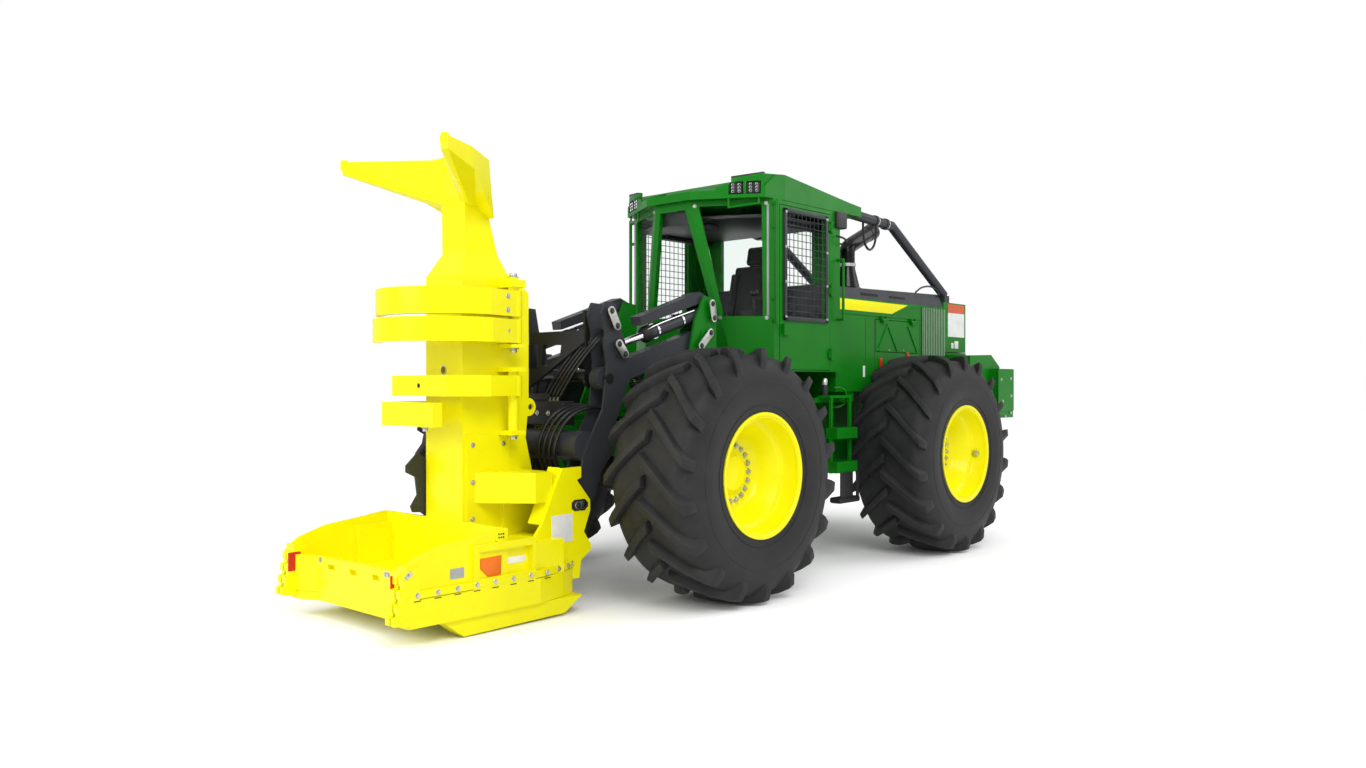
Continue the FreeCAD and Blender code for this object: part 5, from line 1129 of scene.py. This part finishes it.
class FELLER_OT_arm_trim(bpy.types.Operator):
    """Pin nuts, root bolts and the small holes of the gathering arms, drawn as black discs of painted shade"""
    bl_idname = "feller.arm_trim"
    bl_label = "Arm trim"

    def execute(self, context):
        pin_x, pin_y = 2.700, 0.300
        nuts = [bolt_head(at(pin_x, side * pin_y, z), (0, 0, up), 0.026, 0.030)
                for side in (1, -1) for z, up in ((2.215, 1), (1.748, -1), (1.170, -1))]
        settle(nuts, "arm_pin_nuts", "zinc", "felling_head")
        face = (-0.22, 0.975, 0)
        for name, body, zs in (("gather_arm_bolts", "gather_arm_body", (1.995, 2.085)),
                               ("grab_upper_bolts", "grab_upper", (1.858,))):
            settle([bolt_head(at(2.800, 0.3725, z), face, 0.013, 0.012) for z in zs], name, "zinc", body)
        # Painted shade: a thin black disc stands for the dark of a hole in the left grab arm.
        hole = [lathe([(0, 0.001), (0, 0.016), (0.001, 0.016), (0.001, 0.001)], at(3.200, -0.05, 1.498),
                      (1, 0, 0), 16)]
        settle(hole, "grab_left_shade_disc", "soft_black", "grab_left")
        settle([bolt_head(at(3.250, 0.10, 1.235), (0, 0, -1), 0.018, 0.030)], "grab_right_bolt", "zinc",
               "grab_right")
        ring = clamp_ring(at(3.041, 0, 1.600), (1, 0, 0), 0.027, 0.006)
        settle([ring], "sight_hole_ring", "zinc", "felling_head")
        return {"FINISHED"}


class FELLER_OT_body_trim(bpy.types.Operator):
    """Window bolts, accumulator, hanging steps, handles, tail sill and end bolts"""
    bl_idname = "feller.body_trim"
    bl_label = "Body trim"

    def execute(self, context):
        nose, corner = at(0.819, 0.178, 0), at(0.469, 0.784, 0)
        run = (corner - nose).normalized()
        out = Vector((run.y, -run.x, 0))
        bolts = []
        for s, z in ((0.055, 2.945), (0.635, 2.950), (0.262, 2.040), (0.640, 2.035)):
            bolts.append(bolt_head(nose + run * s + Vector((0, 0, z)), out, 0.011, 0.008))
        bolts = joined(bolts)
        both_sides(bolts, "window_bolts_{}", "zinc", "rear_chassis")
        body = lathe([(0, 0.001), (0, 0.026), (0.085, 0.026), (0.095, 0.020), (0.095, 0.001)],
                          at(-0.215, 0.800, 1.405), (0, 0, 1), 24)
        cap = lathe([(0.094, 0.001), (0.094, 0.024), (0.135, 0.024), (0.150, 0.014), (0.150, 0.001)],
                         at(-0.215, 0.800, 1.405), (0, 0, 1), 24)
        settle(body, "accumulator", "soft_black", "rear_chassis")
        settle(cap, "accumulator_cap", "zinc", "rear_chassis")
        strap = joined([block(at(-0.385, 0.961, 0.555), at(-0.200, 0.972, 0.770), 0.003),
                        block(at(-0.481, 0.961, 0.555), at(-0.440, 0.972, 0.770), 0.003),
                        block(at(-0.482, 0.870, 0.510), at(-0.175, 0.985, 0.560), 0.018, 3)])
        settle(paired(strap), "step_straps", "soft_black", "rear_chassis")
        loop = tube([at(-0.395, 0.775, 1.475), at(-0.420, 0.820, 1.475), at(-0.490, 0.835, 1.450),
                     at(-0.495, 0.835, 1.350), at(-0.410, 0.820, 1.310), at(-0.380, 0.775, 1.310)], 0.010)
        settle(paired(loop), "frame_handles", "green_paint", "rear_chassis")
        sill = block(at(-2.930, -0.715, 1.795), at(-2.445, 0.715, 1.826), 0.003)
        settle(sill, "tail_sill", "green_paint", "rear_chassis")
        end_bolts = [bolt_head(at(x, 1.110, z), (0, 1, 0), 0.011, 0.009)
                     for x, z in ((-2.920, 1.550), (-3.145, 1.562), (-3.155, 1.382), (-3.145, 1.206),
                                  (-3.015, 1.170), (-2.950, 1.330))]
        end_bolts = joined(end_bolts)
        settle(paired(end_bolts), "counterweight_bolts", "zinc", "rear_chassis")
        return {"FINISHED"}


# ----------------------------------------------------------------------- stage
class FELLER_OT_stage(bpy.types.Operator):
    """Pale floor with a painted contact shadow, soft studio lamps and the camera"""
    bl_idname = "feller.stage"
    bl_label = "Stage"

    def execute(self, context):
        scene = context.scene
        clear_selection()
        bpy.ops.mesh.primitive_plane_add(size=120, location=(0, 0, 0))
        floor = bpy.context.object
        floor.name = "studio_floor"
        floor.data.materials.append(self.floor_finish())
        self.sky(scene)
        for name, place, aim, size, power in (
                ("key_lamp", (6.5, 9.0, 9.5), (0, 0, 1.2), 6.0, 740),
                ("front_lamp", (10.5, -1.0, 5.0), (1.5, 0, 1.2), 5.0, 320),
                ("rear_lamp", (-7.0, 6.0, 7.0), (-1.0, 0, 1.5), 6.0, 220)):
            lamp = bpy.data.lights.new(name, "AREA")
            lamp.size = size
            lamp.energy = power
            holder = bpy.data.objects.new(name, lamp)
            holder.location = place
            holder.rotation_euler = (Vector(aim) - Vector(place)).to_track_quat("-Z", "Y").to_euler()
            scene.collection.objects.link(holder)
        camera = bpy.data.cameras.new("camera")
        camera.lens = 27.13
        camera.sensor_width = 36
        camera.clip_end = 200
        holder = bpy.data.objects.new("camera", camera)
        holder.location = (6.7106, 5.7409, 1.5145)
        holder.rotation_euler = (math.radians(90 - 0.05), 0, math.radians(132.147))
        scene.collection.objects.link(holder)
        scene.camera = holder
        scene.view_settings.view_transform = "Standard"
        return {"FINISHED"}

    def floor_finish(self):
        finish = bpy.data.materials.new("studio_floor")
        finish.use_nodes = True
        nodes, links = finish.node_tree.nodes, finish.node_tree.links
        nodes.clear()
        output = nodes.new("ShaderNodeOutputMaterial")
        paper = nodes.new("ShaderNodeBsdfDiffuse")
        paper.inputs["Color"].default_value = (0.88, 0.88, 0.88, 1)
        glow = nodes.new("ShaderNodeEmission")
        rays = nodes.new("ShaderNodeLightPath")
        seen = nodes.new("ShaderNodeMath")
        seen.operation = "MAXIMUM"
        links.new(rays.outputs["Is Camera Ray"], seen.inputs[0])
        links.new(rays.outputs["Is Glossy Ray"], seen.inputs[1])
        share = nodes.new("ShaderNodeMath")
        share.operation = "MULTIPLY"
        share.inputs[1].default_value = 0.49
        # Painted shadow: the floor's glow is multiplied by ambient occlusion, so the floor is painted darker under
        # and beside the machine.
        painted_shadow_ao = nodes.new("ShaderNodeAmbientOcclusion")
        painted_shadow_ao.inputs["Distance"].default_value = 1.8
        painted_shadow_ao.samples = 8
        glow_in_painted_shadow = nodes.new("ShaderNodeMath")
        glow_in_painted_shadow.operation = "MULTIPLY"
        links.new(seen.outputs[0], share.inputs[0])
        links.new(share.outputs[0], glow_in_painted_shadow.inputs[0])
        links.new(painted_shadow_ao.outputs["AO"], glow_in_painted_shadow.inputs[1])
        links.new(glow_in_painted_shadow.outputs[0], glow.inputs["Strength"])
        both = nodes.new("ShaderNodeAddShader")
        links.new(paper.outputs[0], both.inputs[0])
        links.new(glow.outputs[0], both.inputs[1])
        links.new(both.outputs[0], output.inputs["Surface"])
        return finish

    def sky(self, scene):
        world = bpy.data.worlds.new("studio")
        scene.world = world
        world.use_nodes = True
        nodes, links = world.node_tree.nodes, world.node_tree.links
        nodes.clear()
        output = nodes.new("ShaderNodeOutputWorld")
        fill = nodes.new("ShaderNodeBackground")
        fill.inputs["Strength"].default_value = 0.60
        backdrop = nodes.new("ShaderNodeBackground")
        backdrop.inputs["Strength"].default_value = 1.0
        for shade in (fill, backdrop):
            shade.inputs["Color"].default_value = (1, 1, 1, 1)
        rays = nodes.new("ShaderNodeLightPath")
        glossy = nodes.new("ShaderNodeMath")
        glossy.operation = "MAXIMUM"
        links.new(rays.outputs["Is Camera Ray"], glossy.inputs[0])
        links.new(rays.outputs["Is Transmission Ray"], glossy.inputs[1])
        mix = nodes.new("ShaderNodeMixShader")
        links.new(glossy.outputs[0], mix.inputs["Fac"])
        links.new(fill.outputs[0], mix.inputs[1])
        links.new(backdrop.outputs[0], mix.inputs[2])
        links.new(mix.outputs[0], output.inputs["Surface"])


# ------------------------------------------------------------------------ panel
OPERATORS = (
    FELLER_OT_paint_frame,
    FELLER_OT_tyres,
    FELLER_OT_rims,
    FELLER_OT_door_guards,
    FELLER_OT_seat,
    FELLER_OT_cab_trim,
    FELLER_OT_cowl_trim,
    FELLER_OT_head_bolts,
    FELLER_OT_head_marks,
    FELLER_OT_pin_keepers,
    FELLER_OT_exhaust,
    FELLER_OT_cab_pipework,
    FELLER_OT_roof_trim,
    FELLER_OT_boom_trim,
    FELLER_OT_arm_trim,
    FELLER_OT_body_trim,
    FELLER_OT_stage,
)


class FELLER_PT_panel(bpy.types.Panel):
    """Lists the pieces of the machine"""
    bl_label = "Feller buncher"
    bl_idname = "FELLER_PT_panel"
    bl_space_type = "VIEW_3D"
    bl_region_type = "UI"
    bl_category = "Feller"

    def draw(self, context):
        paint_settings = context.scene.feller_paint
        tyre_settings = context.scene.feller_tyre
        for name in ("green", "yellow", "graphite", "rubber"):
            self.layout.prop(paint_settings, name)
        for name in ("bars", "sweep", "bar_width", "nuts", "nut_ring"):
            self.layout.prop(tyre_settings, name)
        for operator in OPERATORS:
            self.layout.operator(operator.bl_idname)


CLASSES = (PaintSettings, TyreSettings, *OPERATORS, FELLER_PT_panel)


def register():
    for item in CLASSES:
        bpy.utils.register_class(item)
    bpy.types.Scene.feller_paint = bpy.props.PointerProperty(type=PaintSettings)
    bpy.types.Scene.feller_tyre = bpy.props.PointerProperty(type=TyreSettings)


def unregister():
    del bpy.types.Scene.feller_tyre
    del bpy.types.Scene.feller_paint
    for item in reversed(CLASSES):
        bpy.utils.unregister_class(item)


def main():
    register()
    for operator in OPERATORS:
        group, action = operator.bl_idname.split(".")
        getattr(getattr(bpy.ops, group), action)()


if __name__ == "__main__":
    main()
